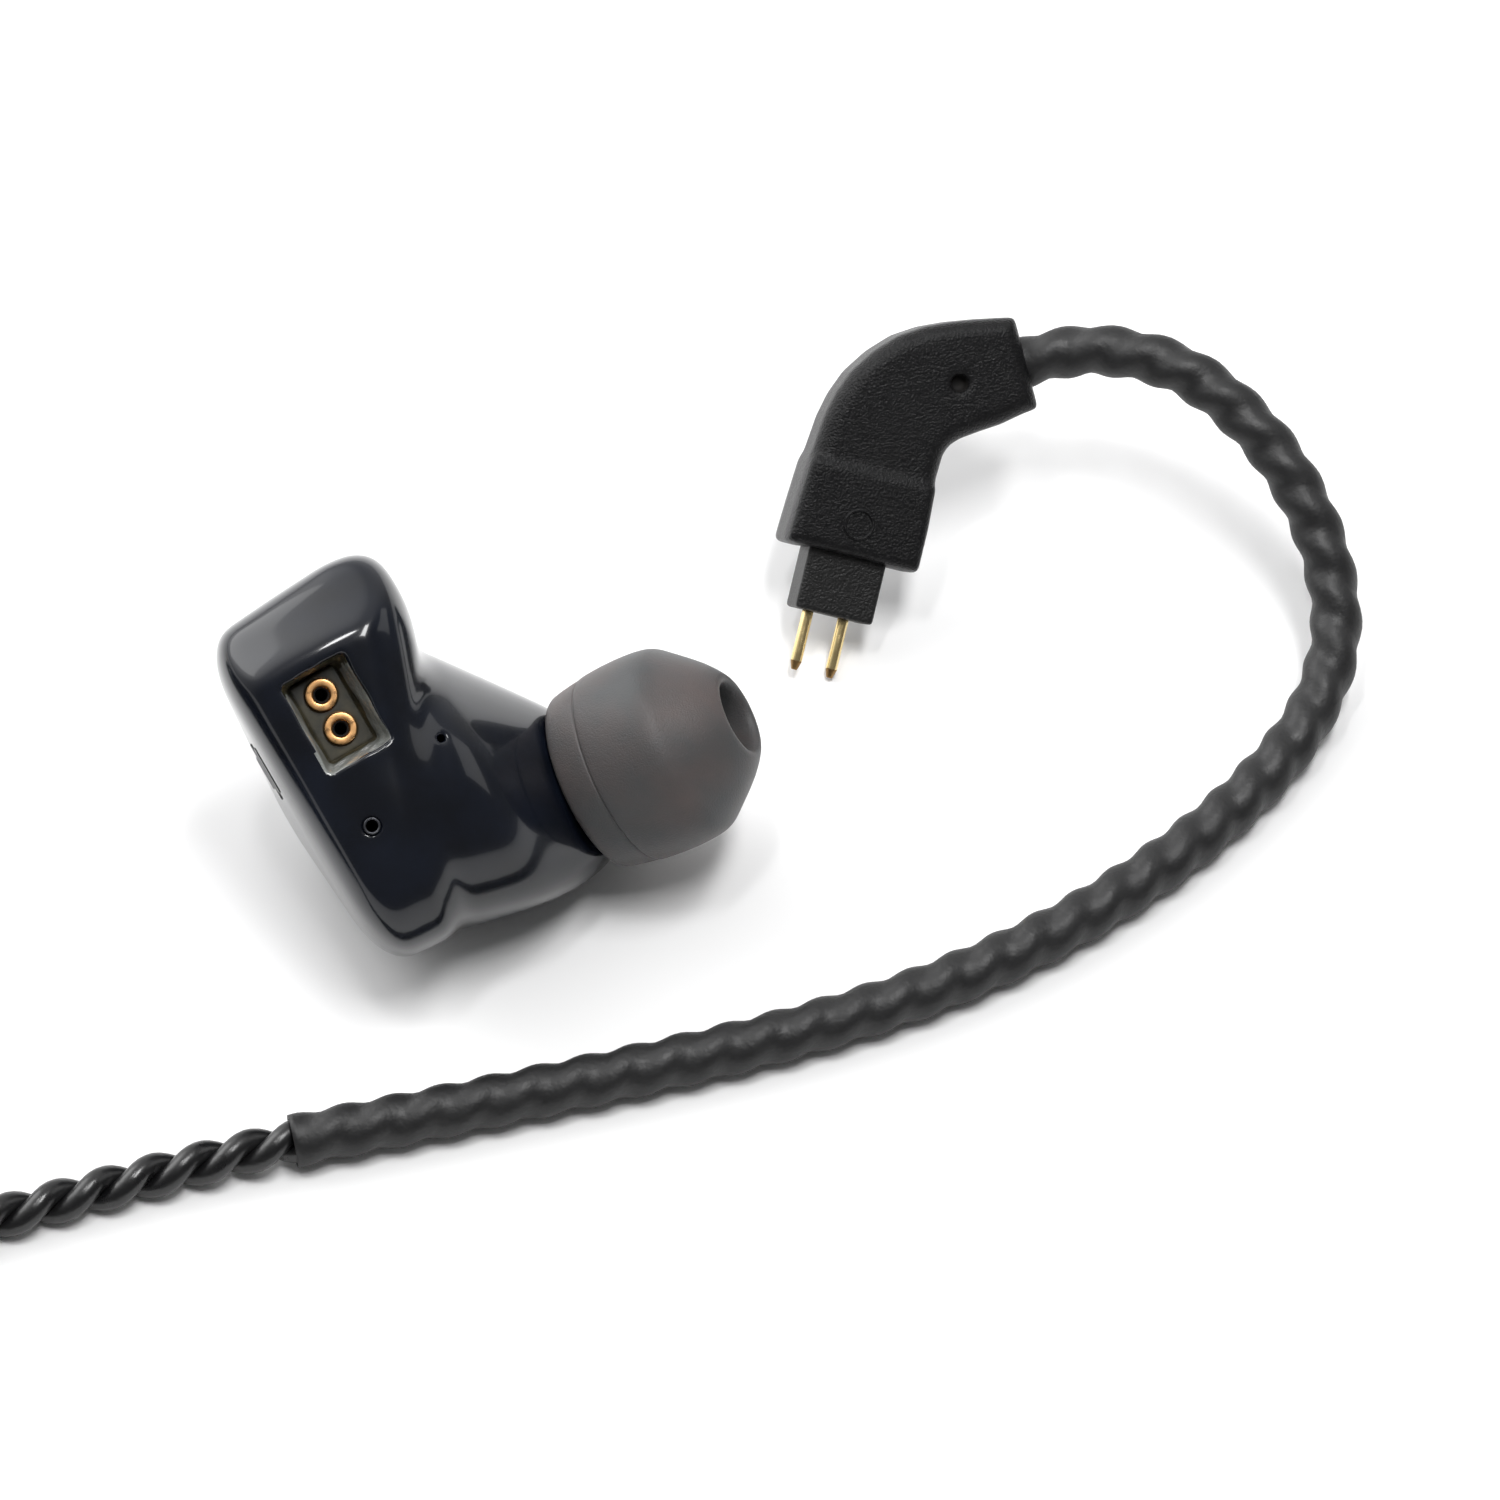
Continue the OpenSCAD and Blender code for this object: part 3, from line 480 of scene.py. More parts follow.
def meshed(grid):
    """Vertices, quads and outward normals of the surface where the field is zero."""
    v = grid["v"]
    inside = v < 0
    nx, ny, nz = v.shape
    corners = [inside[i:nx - 1 + i, j:ny - 1 + j, k:nz - 1 + k] for i in (0, 1) for j in (0, 1)
               for k in (0, 1)]
    count = sum(c.astype(np.int8) for c in corners)
    mixed = (count > 0) & (count < 8)
    index = -np.ones(mixed.shape, int)
    index[mixed] = np.arange(mixed.sum())
    cells = np.argwhere(mixed)
    points = grid["low"] + (cells + 0.5) * grid["step"]
    limit = grid["step"] * 0.75
    home = points.copy()
    for _ in range(5):
        value, grad = read_grid(grid, points, True)
        g2 = np.maximum((grad ** 2).sum(1), 0.05)
        points = points - np.clip(value / g2, -0.3, 0.3)[:, None] * grad
        points = np.clip(points, home - limit, home + limit)
    _, grad = read_grid(grid, points, True)
    normals = grad / np.maximum(np.linalg.norm(grad, axis=1), 1e-6)[:, None]
    quads = []
    for axis in range(3):
        a, b = [k for k in range(3) if k != axis]
        lo = [slice(None)] * 3
        hi = [slice(None)] * 3
        lo[axis], hi[axis] = slice(0, -1), slice(1, None)
        cross = inside[tuple(lo)] != inside[tuple(hi)]
        for k in (a, b):
            edge = [slice(None)] * 3
            edge[k] = slice(0, 1)
            cross[tuple(edge)] = False
            edge[k] = slice(-1, None)
            cross[tuple(edge)] = False
        at = np.argwhere(cross)
        below = inside[tuple(lo)][cross]
        ea, eb = np.eye(3, dtype=int)[a], np.eye(3, dtype=int)[b]
        ring = [index[tuple((at - s * ea - t * eb).T)] for s, t in ((1, 1), (0, 1), (0, 0), (1, 0))]
        q = np.stack(ring, 1)
        flip = below if axis != 1 else ~below
        q[~flip] = q[~flip][:, ::-1]
        quads.append(q)
    return points, np.vstack(quads), normals


def hull_planes(points):
    """Plane normals and offsets of the convex hull of the points."""
    bm = bmesh.new()
    for p in points:
        bm.verts.new(p)
    bmesh.ops.convex_hull(bm, input=bm.verts)
    bm.faces.ensure_lookup_table()
    found = {}
    for f in bm.faces:
        f.normal_update()
        if f.calc_area() < 1e-6:
            continue
        n = np.array(f.normal)
        d = float(n @ np.array(f.verts[0].co))
        found[tuple(np.round([*n, d], 4))] = (n, d)
    bm.free()
    middle = np.mean(points, axis=0)
    planes = [(n, d) if n @ middle < d else (-n, -d) for n, d in found.values()]
    return np.array([p[0] for p in planes], np.float32), np.array([p[1] for p in planes], np.float32)


def hull_field(points):
    n, d = hull_planes(points)
    return lambda p: (p.astype(np.float32) @ n.T - d).max(1).astype(float)


def smooth_max(a, b, k):
    h = np.clip(0.5 + 0.5 * (a - b) / k, 0, 1)
    return b * (1 - h) + a * h + k * h * (1 - h)


def smooth_min(a, b, k):
    return -smooth_max(-a, -b, k)


def box_field(p, center, half, radius):
    q = np.abs(p - np.asarray(center)) - (np.asarray(half) - radius)
    return np.linalg.norm(np.maximum(q, 0), axis=1) + np.minimum(q.max(1), 0) - radius


def tube_field(p, start, axis, radius, low, high):
    """A round bar along axis from the start point, between two distances."""
    along = (p - start) @ axis
    out = np.linalg.norm(p - start - along[:, None] * axis, axis=1)
    return np.maximum(out - radius, np.maximum(low - along, along - high))


def outline_field(p2, outline):
    """Signed distance to a closed outline in 2-D."""
    v = np.asarray(outline, float)
    best = np.full(len(p2), 1e9)
    inside = np.zeros(len(p2), bool)
    for a, b in zip(v, np.roll(v, -1, axis=0)):
        e, w = b - a, p2 - a
        t = np.clip((w @ e) / (e @ e), 0, 1)
        best = np.minimum(best, ((w - t[:, None] * e) ** 2).sum(1))
        with np.errstate(divide="ignore", invalid="ignore"):
            crosses = (a[1] > p2[:, 1]) != (b[1] > p2[:, 1])
            x = a[0] + (p2[:, 1] - a[1]) / (b[1] - a[1] if b[1] != a[1] else 1) * (b[0] - a[0])
        inside ^= crosses & (p2[:, 0] < x)
    return np.where(inside, -1, 1) * np.sqrt(best)


def cut_flat(points, quads, height, side):
    """The mesh on one side of a level plane, closed there."""
    bm = bmesh.new()
    verts = [bm.verts.new(p) for p in points]
    for q in quads:
        bm.faces.new([verts[i] for i in q])
    bmesh.ops.bisect_plane(bm, geom=bm.verts[:] + bm.edges[:] + bm.faces[:], dist=1e-5,
                           plane_co=(0, 0, height),
                           plane_no=(0, 0, 1), clear_inner=side > 0, clear_outer=side < 0)
    bmesh.ops.triangle_fill(bm, edges=[e for e in bm.edges if e.is_boundary], use_beauty=False)
    bmesh.ops.recalc_face_normals(bm, faces=bm.faces)
    bm.verts.index_update()
    new_points = np.array([v.co[:] for v in bm.verts])
    new_faces = [[v.index for v in f.verts] for f in bm.faces]
    bm.free()
    return new_points, new_faces


def moulded(name, shape, low, high, step, materials, turn=np.eye(3), at=(0, 0, 0), soften=0.0, pick=None,
            cut=None):
    """A mesh object of that field, turned and placed. pick gives each face's material from its middle.
    cut is (height, side): what is above or below that height is kept, and closed with a flat face."""
    grid = sampled(shape, low, high, step)
    if soften:
        grid = blurred(grid, soften)
    points, quads, normals = meshed(grid)
    faces, middles = quads, points[quads].mean(1)
    if cut:
        points, faces = cut_flat(points, quads, *cut)
        _, slope = read_grid(grid, points, True)
        normals = slope / np.maximum(np.linalg.norm(slope, axis=1), 1e-6)[:, None]
        middles = np.array([points[f].mean(0) for f in faces])
    kinds = None if pick is None else pick(middles)
    turn = np.asarray(turn)
    return mesh_object(name, points @ turn.T + np.asarray(at), faces, materials, normals @ turn.T, kinds)


# ---------------------------------------------------------------- earpiece
POSE = rot("x", 35) @ rot("z", 120) @ rot("x", 96.6)
POSE_AT = np.array([-12.05, -0.75, 10.25])
NECK_END = np.array([-8, -4.16, 14.95])
NOZZLE_HEADING, NOZZLE_TILT = 103, 25.5
NOZZLE_TURN = rot("z", NOZZLE_HEADING) @ rot("y", NOZZLE_TILT)
NOZZLE_AXIS = NOZZLE_TURN @ [0, 0, 1]
PLATE_TOP, FACET_Y, FLOOR_Y, WALL = 0.9, 8.8, 6.2, 1.1
SOCKET = np.array([4.05, 0, 3.75])
KEY_SHIFT, CONTACT_PITCH = 0.22, 2.5
CONTACT_LONG, CONTACT_PROUD = 3.4, 0.5
VENT, VENT_R, SMALL_HOLE, SMALL_HOLE_R = (-3.7, 2.2), 0.56, (-1, 9), 0.27
MARK, MARK_BARS = (2.9, 1.5), ((-1.6, 2.4), (0, 4.2), (1.6, 3.4))
TOP = [[0, 7.2, 3.8, 5], [4.8, 7.2, 3.8, 5.3], [8.3, 7.3, 3.7, 5.4], [9.9, 7.8, 3.6, 4.7],
       [10.8, 8.3, 3.5, 3.8],
       [11.4, 8.9, 3.4, 2.6], [11.7, 9.2, 3.3, 1.5]]
TAIL = [[0, -6.4, 2.6, 5.9], [3.4, -6.4, 2.6, 6.1], [4.8, -6.2, 2.6, 5.4]]
BELLY = [[0, -0.5, -3.4, 6.5], [4.5, -0.5, -3.4, 6.7], [7, -0.5, -3.2, 5.6]]
NECK = [[[-3.8, -0.6, 3], [8.2, 9.2], 0], [[-3.6, -0.8, 7], [9.3, 8.9], 0],
        [[-3.5, -1.0, 10], [10.1, 8.2], 0],
        [[-6.4, -2.6, 13.4], [7.5, 7.2], 0.55]]
NECK_ROUND = [[0, 5.6], [1.8, 5.25], [2.6, 3.6]]
circle = np.linspace(0, 2 * np.pi, 112, endpoint=False)


def ring_at(x, y, z, r):
    return np.stack([x + r * np.cos(circle), y + r * np.sin(circle), np.full(len(circle), float(z))], 1)


CROWN = [(0.25, 0.12), (0.0, 0.3), (-0.25, 0.52), (-0.5, 0.82), (-0.75, 1.2), (-1.0, 1.7), (-1.22, 2.35),
         (-1.4, 3.2), (-1.5, 4.3)]
puck_points = [ring_at(x, y, max(z, 0.8), r) for z, x, y, r in TOP + TAIL + BELLY]
for z, drop in CROWN:
    puck_points += [ring_at(x, y, z, r - drop) for _, x, y, r in (TOP[0], TAIL[0], BELLY[0])]
puck = hull_field(np.vstack(puck_points))
neck_points = []
for center, half, tilt in NECK:
    turn = rot("z", NOZZLE_HEADING) @ rot("y", NOZZLE_TILT * tilt) @ rot("z", -NOZZLE_HEADING)
    neck_points.append(ring_at(0, 0, 0, 1) * [half[0], half[1], 1] @ turn.T + center)
for out, r in NECK_ROUND:
    neck_points.append(ring_at(0, 0, out, r) @ NOZZLE_TURN.T + NECK_END)
neck = hull_field(np.vstack(neck_points))
SHELL_LOW, SHELL_HIGH = np.array([-15.5, -13, -3.2]), np.array([15.5, 12.2, 20.8])
COARSE, FINE, FINE_QUICK = 0.4, 0.2, 0.36
PUCK_BLUR, NECK_BLUR, NECK_IN, NECK_BLEND = 0.42, 1.1, 0.12, 1.3
BEVEL, BEVEL_AT, BEVEL_ROUND = np.array([0.559, 0.829, 0]), 11.95, 0.014
neck_grid = blurred(sampled(neck, SHELL_LOW, SHELL_HIGH, COARSE), NECK_BLUR)


def bevelled_puck(p):
    """The outer half, with the slightly rounded bevel above the socket."""
    return np.maximum(puck(p), p @ BEVEL - BEVEL_AT + BEVEL_ROUND * (p[:, 2] - 5) ** 2)


puck_grid = blurred(sampled(bevelled_puck, SHELL_LOW, SHELL_HIGH, COARSE), PUCK_BLUR)
body = {**puck_grid, "v": smooth_min(puck_grid["v"], neck_grid["v"] - NECK_IN, NECK_BLEND)}


def recess(p):
    """The plug's recess: its walls were cut by hand, so they waver a little."""
    waver = 0.04 * np.sin(p[:, 1] * 2.6 + p[:, 0] * 1.9) + 0.03 * np.sin(p[:, 2] * 3.7 + p[:, 1] * 4.1 + 1)
    up = np.clip((p[:, 1] - FLOOR_Y) / (FACET_Y - FLOOR_Y), 0, 1.1)
    x = np.abs(p[:, 0] - (3.92 - 0.2 * up)) - (2.84 + 0.38 * up)
    z = np.abs(p[:, 2] - (3.75 + 0.1 * up)) - (1.78 + 0.52 * up)
    r = 0.35
    q = np.stack([x + r, z + r], 1)
    side = np.linalg.norm(np.maximum(q, 0), axis=1) + np.minimum(q.max(1), 0) - r
    return smooth_max(side + waver, FLOOR_Y - p[:, 1], 0.25)


def shell_shape(p):
    outside = read_grid(body, p)
    boss = box_field(p, [SOCKET[0] - KEY_SHIFT, 6.4, SOCKET[2] - 1], [3.8, 2.4, 3.95], 0.3)
    hollow = np.maximum(outside + WALL, -boss)
    solid = smooth_max(outside, -hollow, 0.3)
    solid = smooth_max(solid, -recess(p), 0.16)
    solid = np.maximum(solid, -box_field(p, [SOCKET[0], 5, SOCKET[2]], [2.7, 1.3, 1.6], 0.1))
    for (x, z), r in ((VENT, VENT_R), (SMALL_HOLE, SMALL_HOLE_R)):
        solid = smooth_max(solid, -tube_field(p, np.array([x, 0, z]), np.array([0, 1, 0]), r, 4.5, 12), 0.1)
    return np.maximum(solid, -tube_field(p, NECK_END, NOZZLE_AXIS, 2.82, -4, 6))


def shell_kind(middle):
    deep = (recess(middle) < 0.2) & (middle[:, 1] < FACET_Y - 0.1)
    dark = (middle[:, 1] < FLOOR_Y + 0.25) | (middle[:, 0] > 6.3)
    return np.where(deep & dark, 2, np.where(deep, 1, 0))


shell = moulded("shell_body", shell_shape, SHELL_LOW, SHELL_HIGH, FINE,
                [resin, recess_resin, olive], POSE, POSE_AT, pick=shell_kind, cut=(PLATE_TOP, 1))
ride_as(shell, "monitor", "shell_resin", "shell")

faceplate = moulded("faceplate_body", lambda p: read_grid(body, p), np.array([-14.5, -12, -2.6]),
                    np.array([14.5, 11.2, 2.2]),
                    FINE, [resin], POSE, POSE_AT, cut=(PLATE_TOP, -1))
ride_as(faceplate, "monitor", "faceplate_resin", "faceplate")


def mark_shape(p):
    bars = [box_field(p, [MARK[0], MARK[1] + y, -1.4], [w / 2, 0.35, 0.17], 0.05) for y, w in MARK_BARS]
    return np.minimum.reduce(bars)


mark = moulded("faceplate_bars", mark_shape, np.array([0.3, -1, -1.9]), np.array([5.6, 4, -0.9]), 0.06,
               [mark_ink], POSE, POSE_AT)
ride_as(mark, "monitor", "mark_black", "faceplate_mark")

NOZZLE_PLACE = POSE @ NOZZLE_TURN
NOZZLE_AT = POSE @ NECK_END + POSE_AT
tip_outer = [[5.55, 2.25], [5.9, 2.22], [6.12, 2.5], [6.28, 3.2], [6.43, 4.1], [6.48, 4.56], [6.4, 4.66],
             [6.56, 4.76], [6.63, 5.4],
             [6.7, 6.3], [6.72, 7.2], [6.7, 8.0], [6.64, 8.8], [6.53, 9.45], [6.3, 9.95], [5.95, 10.4],
             [4.95, 11.65],
             [4.3, 12.4], [3.65, 13.03], [3.2, 13.38], [2.95, 13.55], [2.7, 13.6], [2.48, 13.5],
             [2.36, 13.25], [2.3, 12.9]]
tip_inner = [[2.3, 9.2], [2.86, 9.2], [2.86, 3.5], [3.56, 3.5], [3.56, 10], [4.3, 11.2], [5, 10.5],
             [5.6, 9.4], [5.95, 7.4],
             [5.85, 5], [5.6, 3.4]]
ear_tip = revolved("tip_body", rounded_profile(tip_outer + tip_inner, 0.25, 3), [silicone], NOZZLE_PLACE,
                   NOZZLE_AT, 128)
ride_as(ear_tip, "ear_tip", "tip_silicone", "ear_tip")
nozzle_profile = rounded_profile([[2, -2], [2.8, -2], [2.8, 8.6], [2.4, 9], [2, 9]], 0.12, 3)
nozzle = revolved("nozzle_body", nozzle_profile, [resin], NOZZLE_PLACE, NOZZLE_AT, 64)
ride_as(nozzle, "monitor", "shell_resin", "nozzle")
screen = revolved("screen_disc", [[0.001, 8.3], [1.99, 8.3], [1.99, 8.45], [1.0, 8.49], [0.001, 8.5]],
                  [screen_steel],
                  NOZZLE_PLACE, NOZZLE_AT, 48)
ride_as(screen, "monitor", "screen_steel", "nozzle_screen")

FACET_TURN = POSE @ rot("x", -90)


def on_facet(x, y, z):
    return POSE @ np.array([x, y, z]) + POSE_AT


vent = revolved("vent_body", rounded_profile([[0.40, -1.2], [0.55, -1.2], [0.55, 0.02], [0.49, 0.06],
                                              [0.40, 0.0]], 0.03, 3),
                [vent_metal], FACET_TURN, on_facet(VENT[0], FACET_Y, VENT[1]), 40)
ride_as(vent, "monitor", "vent_metal", "vent_ring")


def block_field(p):
    """The block in the recess, with a hole for each contact."""
    holes = [tube_field(p, SOCKET + [s * CONTACT_PITCH / 2, 0, 0], np.array([0, 1, 0]), 1.03, 2, 9)
             for s in (-1, 1)]
    solid = box_field(p, [SOCKET[0] - 0.13, 5.13, SOCKET[2]], [2.78, 1.1, 1.72], 0.05)
    return np.maximum(solid, -np.minimum(*holes))


block = moulded("block_body", block_field, np.array([0.8, 3.6, 1.6]), np.array([7.2, 6.7, 6]), 0.12,
                [olive], POSE, POSE_AT)
ride_as(block, "monitor", "socket_resin", "socket_block")
sleeve_profile = rounded_profile([[0.001, 0], [1.05, 0], [1.05, 3.4], [0.6, 3.4], [0.55, 3.2], [0.41, 3.1],
                                  [0.41, 0.4], [0.001, 0.4]], 0.08, 4, False)
# The faces inside each contact's bore get the painted shade colour; the rest of the sleeve stays gold.
sleeve_kinds = [1 if r < 0.56 and z > 0.3 and z < 3.22 else 0 for r, z in sleeve_profile]
for end, s in (("low", -1), ("high", 1)):
    place = on_facet(SOCKET[0] + s * CONTACT_PITCH / 2, FLOOR_Y + CONTACT_PROUD - CONTACT_LONG, SOCKET[2])
    contact = revolved(f"contact_{end}", sleeve_profile, [gold_dull, hole_painted_shade], FACET_TURN, place, 64,
                       closed=False, face_rows=sleeve_kinds)
    ride_as(contact, "monitor", "contact_gold", "contact_sleeves")

# ---------------------------------------------------------------- two-pin plugs
HOUSING = [[-4.25, 0], [-4.1, 3.1], [-3.9, 5.9], [-3.6, 8.8], [-3.2, 10.5], [-2.5, 12.2], [-1.3, 13.9],
           [0.1, 15.3],
           [1.7, 16.3], [3.3, 17], [5, 17.6], [7.6, 18.4], [10.7, 12.8], [9.8, 12.2], [8.4, 11.1],
           [7.1, 10.3], [5.9, 9.5],
           [5.3, 8.9], [5, 8.2], [4.9, 6], [5.05, 3], [5.05, 0]]
BLOCK = [[-4.25, 0], [-4.1, 3.1], [-3.9, 6.0], [4.9, 6.0], [5.05, 3], [5.05, 0]]
PLUG_THICK = 4.8
GATE_X, GATE_Z, GATE_R = 4.8, 13.1, 0.6


def slab_field(p, outline, half, radius):
    q = np.stack([outline_field(p[:, [0, 2]], outline) + radius, np.abs(p[:, 1]) - half + radius], 1)
    return np.linalg.norm(np.maximum(q, 0), axis=1) + np.minimum(q.max(1), 0) - radius


def housing_field(p):
    arm = slab_field(p, HOUSING, PLUG_THICK / 2, 1.15)
    foot = slab_field(p, BLOCK, FACE_Y, 0.55)
    both = smooth_min(arm, foot, 0.35)
    gate = tube_field(p, np.array([GATE_X, 0, GATE_Z]), np.array([0, -1, 0]), GATE_R, 1.4, 6)
    both = smooth_max(both, -gate, 0.1)
    return np.maximum(both, -box_field(p, [KEY_SHIFT, 0, 0], [2.73, 1.68, 1.4], 0.1))


def housing_kind(middle):
    """Painted shade inside the gate mark's hole."""
    across = np.hypot(middle[:, 0] - GATE_X, middle[:, 2] - GATE_Z)
    return np.where((across < GATE_R + 0.02) & (np.abs(middle[:, 1] + 1.7) < 0.42), 1, 0)


def insert_field(p):
    return box_field(p, [KEY_SHIFT, 0, -1.4], [2.73, 1.68, 2.8], 0.22)


pin_profile = rounded_profile([[0.001, -8.3], [0.2, -8.3], [0.39, -7.7], [0.39, -4.2], [0.22, -4.2],
                               [0.22, 0.5], [0.001, 0.5]],
                              0.08, 4, False)
pin_kinds = [1 if z < -7.72 else 0 for _, z in pin_profile]
right_turn = rot("x", 35) @ rot("z", -13.5) @ rot("x", -90) @ rot("z", 12)
left_turn = rot("z", -31) @ rot("x", -90)
left_end = round_coil(left_r(HOOK_LEFT_TO), HOOK_LEFT_TO, COIL_TOP + FACE_Y + 0.05)
PLUGS = {
    "right": (right_turn, np.array([22.95, 22.85, 5.3])),
    "left": (left_turn, left_end - left_turn @ np.array([9.15, 0, 15.6])),
}
for side, (turn, at) in PLUGS.items():
    fine_step = 0.17 if side == "right" else 0.26
    case = moulded(f"housing_{side}", housing_field, np.array([-5.2, -3.4, -0.8]),
                   np.array([11.6, 3.4, 19.2]),
                   fine_step, [housing, hole_painted_shade], turn, at, soften=0.17, pick=housing_kind)
    insert = moulded(f"insert_{side}", insert_field, np.array([-3.2, -2.3, -4.8]), np.array([3.6, 2.3, 2]),
                     0.13, [insert_black], turn, at)
    pieces = [ride_as(case, "monitor", "housing_black", f"plug_housing_{side}"),
              ride_as(insert, "monitor", "insert_black", f"plug_insert_{side}")]
    for end, s in (("low", -1), ("high", 1)):
        pin = revolved(f"pin_{side}_{end}", pin_profile, [gold, bronze], turn,
                       turn @ np.array([s * CONTACT_PITCH / 2, 0, 0]) + at, 40, closed=False,
                       face_rows=pin_kinds)
        pieces.append(ride_as(pin, "monitor", "pin_gold", f"plug_pins_{side}"))
    if side == "right":
        a = np.linspace(0, 2 * np.pi, 16, endpoint=False)
        marker = revolved("marker_right", np.stack([0.975 + 0.125 * np.cos(a), 0.02 + 0.13 * np.sin(a)], 1),
                          [housing],
                          turn @ rot("x", 90), turn @ np.array([0.2, -FACE_Y, 2.2]) + at, 48)
    else:
        marker = moulded("marker_left", lambda p: box_field(p, [0.2, -FACE_Y, 2.25], [1.1, 0.15, 0.25],
                                                            0.1),
                         np.array([-1.3, -3.1, 1.7]), np.array([1.7, -2.3, 2.8]), 0.07, [housing], turn, at)
    pieces.append(ride_as(marker, "monitor", "housing_black", f"plug_marker_{side}"))

# ---------------------------------------------------------------- cable fittings
SPLIT_ANGLE, SPLIT_R, SPLIT_Z = 330.5, 28.3, 2.3
split_turn = rot("z", SPLIT_ANGLE) @ rot("x", -90)
split_at = COIL + rot("z", SPLIT_ANGLE) @ np.array([SPLIT_R, 0, SPLIT_Z])
split_rings = [ring_at(0, 0, -7, 2.1), ring_at(0, 0, -4, 2.1)]
split_rings += [ring_at(s * 1.5, 0, z, 2.2) for s in (-1, 1) for z in (1, 7)]
split_hull = hull_field(np.vstack(split_rings))


def split_field(p):
    grooves = [np.abs(p[:, 2] + 4.4 - 0.75 * k) - 0.16 for k in range(3)]
    return smooth_max(split_hull(p), -np.maximum(np.minimum.reduce(grooves), -split_hull(p) - 0.22), 0.1)


splitter = moulded("splitter", split_field, np.array([-4.4, -2.9, -7.6]), np.array([4.4, 2.9, 7.6]), 0.17,
                   [fitting_black],
                   split_turn, split_at, soften=0.18)
ride_as(splitter, "monitor", "fitting_black", "y_split")


def slider_field(p):
    q = p - COIL
    r, a = np.hypot(q[:, 0], q[:, 1]), np.degrees(np.arctan2(q[:, 1], q[:, 0]))
    middle = (LANE_LEFT + LANE_RIGHT) / 2
    flat = np.stack([r - middle, (a - 359 + 360 + 180) % 360 - 180, q[:, 2] - 1.95], 1)
    flat = flat * [1, math.radians(1) * middle, 1]
    solid = box_field(flat, [0, 0, 0], [3.58, 3.44, 1.9], 0.8)
    for lane in (LANE_LEFT, LANE_RIGHT):
        solid = smooth_max(solid, 1.7 - np.hypot(r - lane, q[:, 2] - LANE_Z), 0.12)
    return solid


slider = moulded("slider", slider_field, COIL + [23.5, -5.5, -0.4], COIL + [33.2, 5, 4.5], 0.17,
                 [fitting_black], soften=0.1)
ride_as(slider, "chin_slider", "fitting_black", "chin_slider")

JACK_TURN, JACK_AT = rot("x", -90), COIL + [-37.5, 11.5, 3.2]
relief_profile = [[0.001, 0.0], [1.75, 0.0], [1.9, 0.15]]
for k in range(6):
    z = 0.9 + 1.1 * k
    r = 1.9 + 0.7 * z / 8
    relief_profile += [[r, z], [r - 0.3, z + 0.12], [r - 0.3, z + 0.42], [r + 0.04, z + 0.54]]
relief_profile += [[2.58, 7.9], [2.5, 8.0], [0.001, 8.0]]
relief = revolved("relief", relief_profile, [housing], JACK_TURN, JACK_AT, 48, closed=False)
ride_as(relief, "monitor", "housing_black", "jack_strain_relief")
barrel_profile = [[0.001, 8], [2.7, 8], [2.95, 8.1], [3.12, 8.35], [3.2, 8.7]]
for k in range(10):
    z = 12 + 0.7 * k
    barrel_profile += [[3.2, z], [3.08, z + 0.1], [3.08, z + 0.3], [3.2, z + 0.4]]
barrel_profile += [[3.2, 28.2], [3.1, 28.7], [2.75, 29.7], [2.5, 30], [0.001, 30]]
barrel = revolved("barrel", barrel_profile, [barrel_black], JACK_TURN, JACK_AT, 64, closed=False)
ride_as(barrel, "monitor", "barrel_black", "jack_barrel")
JACK = {
    "sleeve": (30, [[0.001, 0], [1.75, 0], [1.75, 6.2], [0.001, 6.2]], gold, "jack_gold", "jack_sleeve"),
    "ring": (36.9, [[0.001, 0], [1.75, 0], [1.75, 2.3], [0.001, 2.3]], gold, "jack_gold", "jack_ring"),
    "tip": (39.9, [[0.001, 0], [1.75, 0], [1.75, 1.2], [1.3, 1.9], [1.6, 2.5], [1.45, 3.1], [0.9, 3.8],
                   [0.4, 4.1], [0.001, 4.1]],
            gold, "jack_gold", "jack_tip"),
    "insulator_low": (36.2, [[0.001, 0], [1.72, 0], [1.72, 0.7], [0.001, 0.7]], insert_black,
                      "insert_black", "jack_insulators"),
    "insulator_high": (39.2, [[0.001, 0], [1.72, 0], [1.72, 0.7], [0.001, 0.7]], insert_black,
                       "insert_black", "jack_insulators"),
}
for key, (z, profile, m, slot_name, cad) in JACK.items():
    o = revolved(f"jack_{key}_turned", [[r, z + y] for r, y in rounded_profile(profile, 0.1, 3, False)],
                 [m], JACK_TURN, JACK_AT, 48, closed=False)
    ride_as(o, "monitor", slot_name, cad)

TIE_HALF, TIE_ANGLE = 3, 222
tie_section = rounded_profile([[10.3, 0], [32.1, 0], [32.1, 3.75], [25.1, 11.1], [10.3, 11.1]], 1.9, 7)
tie_hole = rounded_profile([[10.8, 0.45], [31.65, 0.45], [31.65, 3.6], [24.9, 10.65], [10.8, 10.65]], 1.6,
                           7)
tie_points, tie_quads = [], []
loop = len(tie_section)
mid = np.array([21.2, 5.55])
for x, which, pull in ((-2.88, tie_section, 0), (2.88, tie_section, 0), (TIE_HALF, tie_section, 0.12),
                       (TIE_HALF, tie_hole, -0.05), (2.9, tie_hole, 0), (-2.9, tie_hole, 0),
                       (-TIE_HALF, tie_hole, -0.05), (-TIE_HALF, tie_section, 0.12)):
    for r, z in which:
        v = np.array([r, z]) - mid
        v = v * (1 - pull / np.linalg.norm(v))
        tie_points.append([mid[0] + v[0], x, mid[1] + v[1]])
for i in range(8):
    j = (i + 1) % 8
    for k in range(loop):
        m = (k + 1) % loop
        tie_quads.append([i * loop + k, i * loop + m, j * loop + m, j * loop + k])
tie = mesh_object("tie_band", np.array(tie_points) @ rot("z", TIE_ANGLE).T + COIL,
                  np.array(tie_quads)[:, ::-1], [tie_black])
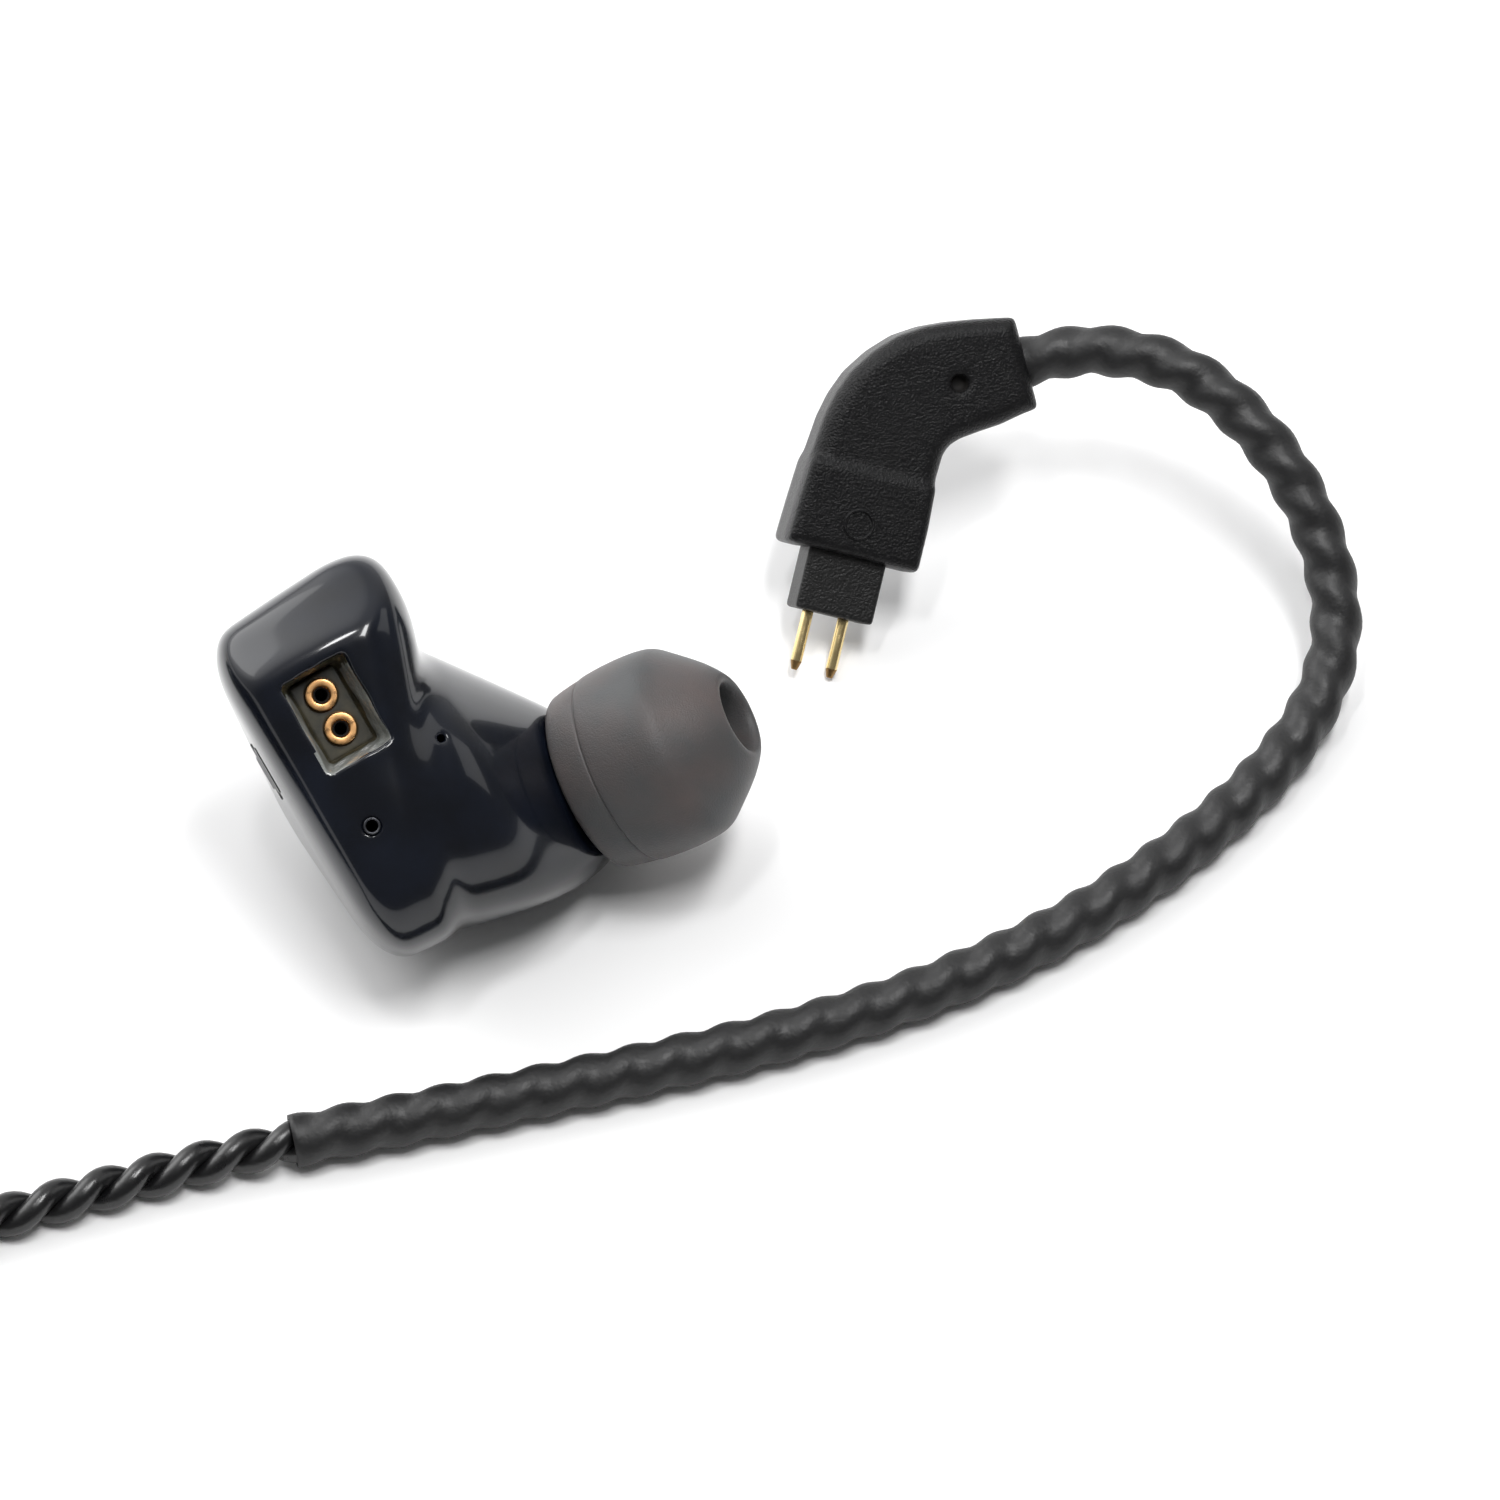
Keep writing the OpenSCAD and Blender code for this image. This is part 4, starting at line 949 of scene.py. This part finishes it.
ride_as(tie, "monitor", "tie_black", "coil_tie")

# ---------------------------------------------------------------- cords attached to the monitor body
ride_as(pair_right, "monitor", "cable_jacket", "cable_right")
ride_as(sleeve_right, "monitor", "hook_sleeve", "ear_hook_right")
ride_as(pair_left, "monitor", "cable_jacket", "cable_left")
ride_as(sleeve_left, "monitor", "hook_sleeve", "ear_hook_left")
ride_as(main_cable, "monitor", "cable_jacket", "main_coil", "main_leads")


# ---------------------------------------------------------------- inner parts keep their CAD shape
board_green = mottled(material("board_green", (0.02, 0.10, 0.04), 0.4, coat=0.4), "Base Color", 800,
                      (0.015, 0.08, 0.03), (0.03, 0.13, 0.05))
ceramic = mottled(material("part_ceramic", (0.45, 0.36, 0.25), 0.5), "Base Color", 1500, (0.4, 0.3, 0.2),
                  (0.5, 0.42, 0.3))
copper = mottled(material("coil_copper", (0.7, 0.35, 0.18), 0.35, metallic=1.0), "Roughness", 2500, 0.25,
                 0.45)
film = mottled(material("diaphragm_film", (0.6, 0.58, 0.5), 0.4), "Roughness", 900, 0.3, 0.5)
clear = mottled(material("tube_clear", (0.7, 0.72, 0.73), 0.2, Transmission_Weight=0.5), "Roughness", 900,
                0.15, 0.3)
green = mottled(material("damper_green", (0.05, 0.4, 0.1), 0.5), "Base Color", 2500, (0.04, 0.33, 0.08),
                (0.07, 0.48, 0.13))
enamel = mottled(material("lead_enamel", (0.4, 0.1, 0.04), 0.3, coat=0.5), "Base Color", 1500,
                 (0.33, 0.08, 0.03), (0.46, 0.13, 0.05))
INNER = {
    "crossover_board": board_green, "crossover_parts": ceramic, "low_driver_frame": steel,
    "low_driver_magnet": vent_metal,
    "low_driver_coil": copper, "low_driver_diaphragm": film, "mid_driver": steel, "high_driver": steel,
    "low_tube": clear,
    "mid_high_tube": clear, "acoustic_dampers": green, "socket_leads": enamel, "driver_leads": enamel,
}
for name, m in INNER.items():
    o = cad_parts[name]
    o.data.materials.clear()
    o.data.materials.append(m)

# ---------------------------------------------------------------- stage
bpy.ops.mesh.primitive_plane_add(size=6)
table = bpy.context.object
table.name = "table"
table.data.materials.append(table_white)


def area_light(name, at, aim, size, power, size_y=None, color=(1, 1, 1)):
    data = bpy.data.lights.new(name, "AREA")
    data.energy, data.size, data.color = power, size, color
    if size_y:
        data.shape, data.size_y = "RECTANGLE", size_y
    o = bpy.data.objects.new(name, data)
    o.location = at
    o.rotation_euler = (Vector(aim) - Vector(at)).to_track_quat("-Z", "Y").to_euler()
    bpy.context.scene.collection.objects.link(o)
    return o


area_light("key", (-0.52, 0.40, 0.42), (0, 0, 0), 0.52, 1.7, 0.46)
area_light("top", (0.14, -0.01, 0.62), (0, 0, 0), 0.30, 2.3, 0.11)
area_light("streak", (-0.065, 0.01, 0.60), (0, 0, 0), 0.10, 0.55, 0.05)
area_light("right", (0.60, 0.22, 0.4), (0.02, 0, 0), 0.35, 0.35, 0.3)
world = bpy.data.worlds.new("studio")
world.use_nodes = True
bpy.context.scene.world = world
sky = node(world, "ShaderNodeTexCoord")


def sky_glow(direction, from_low, from_high, low, high):
    """Light from the sky that rises from low to high as one looks toward that direction."""
    toward = node(world, "ShaderNodeVectorMath", operation="DOT_PRODUCT")
    toward.inputs[1].default_value = unit(direction)
    rise = node(world, "ShaderNodeMapRange", interpolation_type="SMOOTHSTEP")
    for key, value in (("From Min", from_low), ("From Max", from_high), ("To Min", low), ("To Max", high)):
        rise.inputs[key].default_value = value
    link(world, sky.outputs["Generated"], toward.inputs[0])
    link(world, toward.outputs["Value"], rise.inputs["Value"])
    return rise.outputs["Result"]


sky_sum = node(world, "ShaderNodeMath", operation="ADD")
link(world, sky_glow([-0.5, 0.8, 0.25], -0.1, 0.75, 0.16, 0.9), sky_sum.inputs[0])
link(world, sky_glow([-0.66, 0.52, 0.53], 0.76, 1.0, 0.0, 1.6), sky_sum.inputs[1])
link(world, sky_sum.outputs["Value"], world.node_tree.nodes["Background"].inputs["Color"])
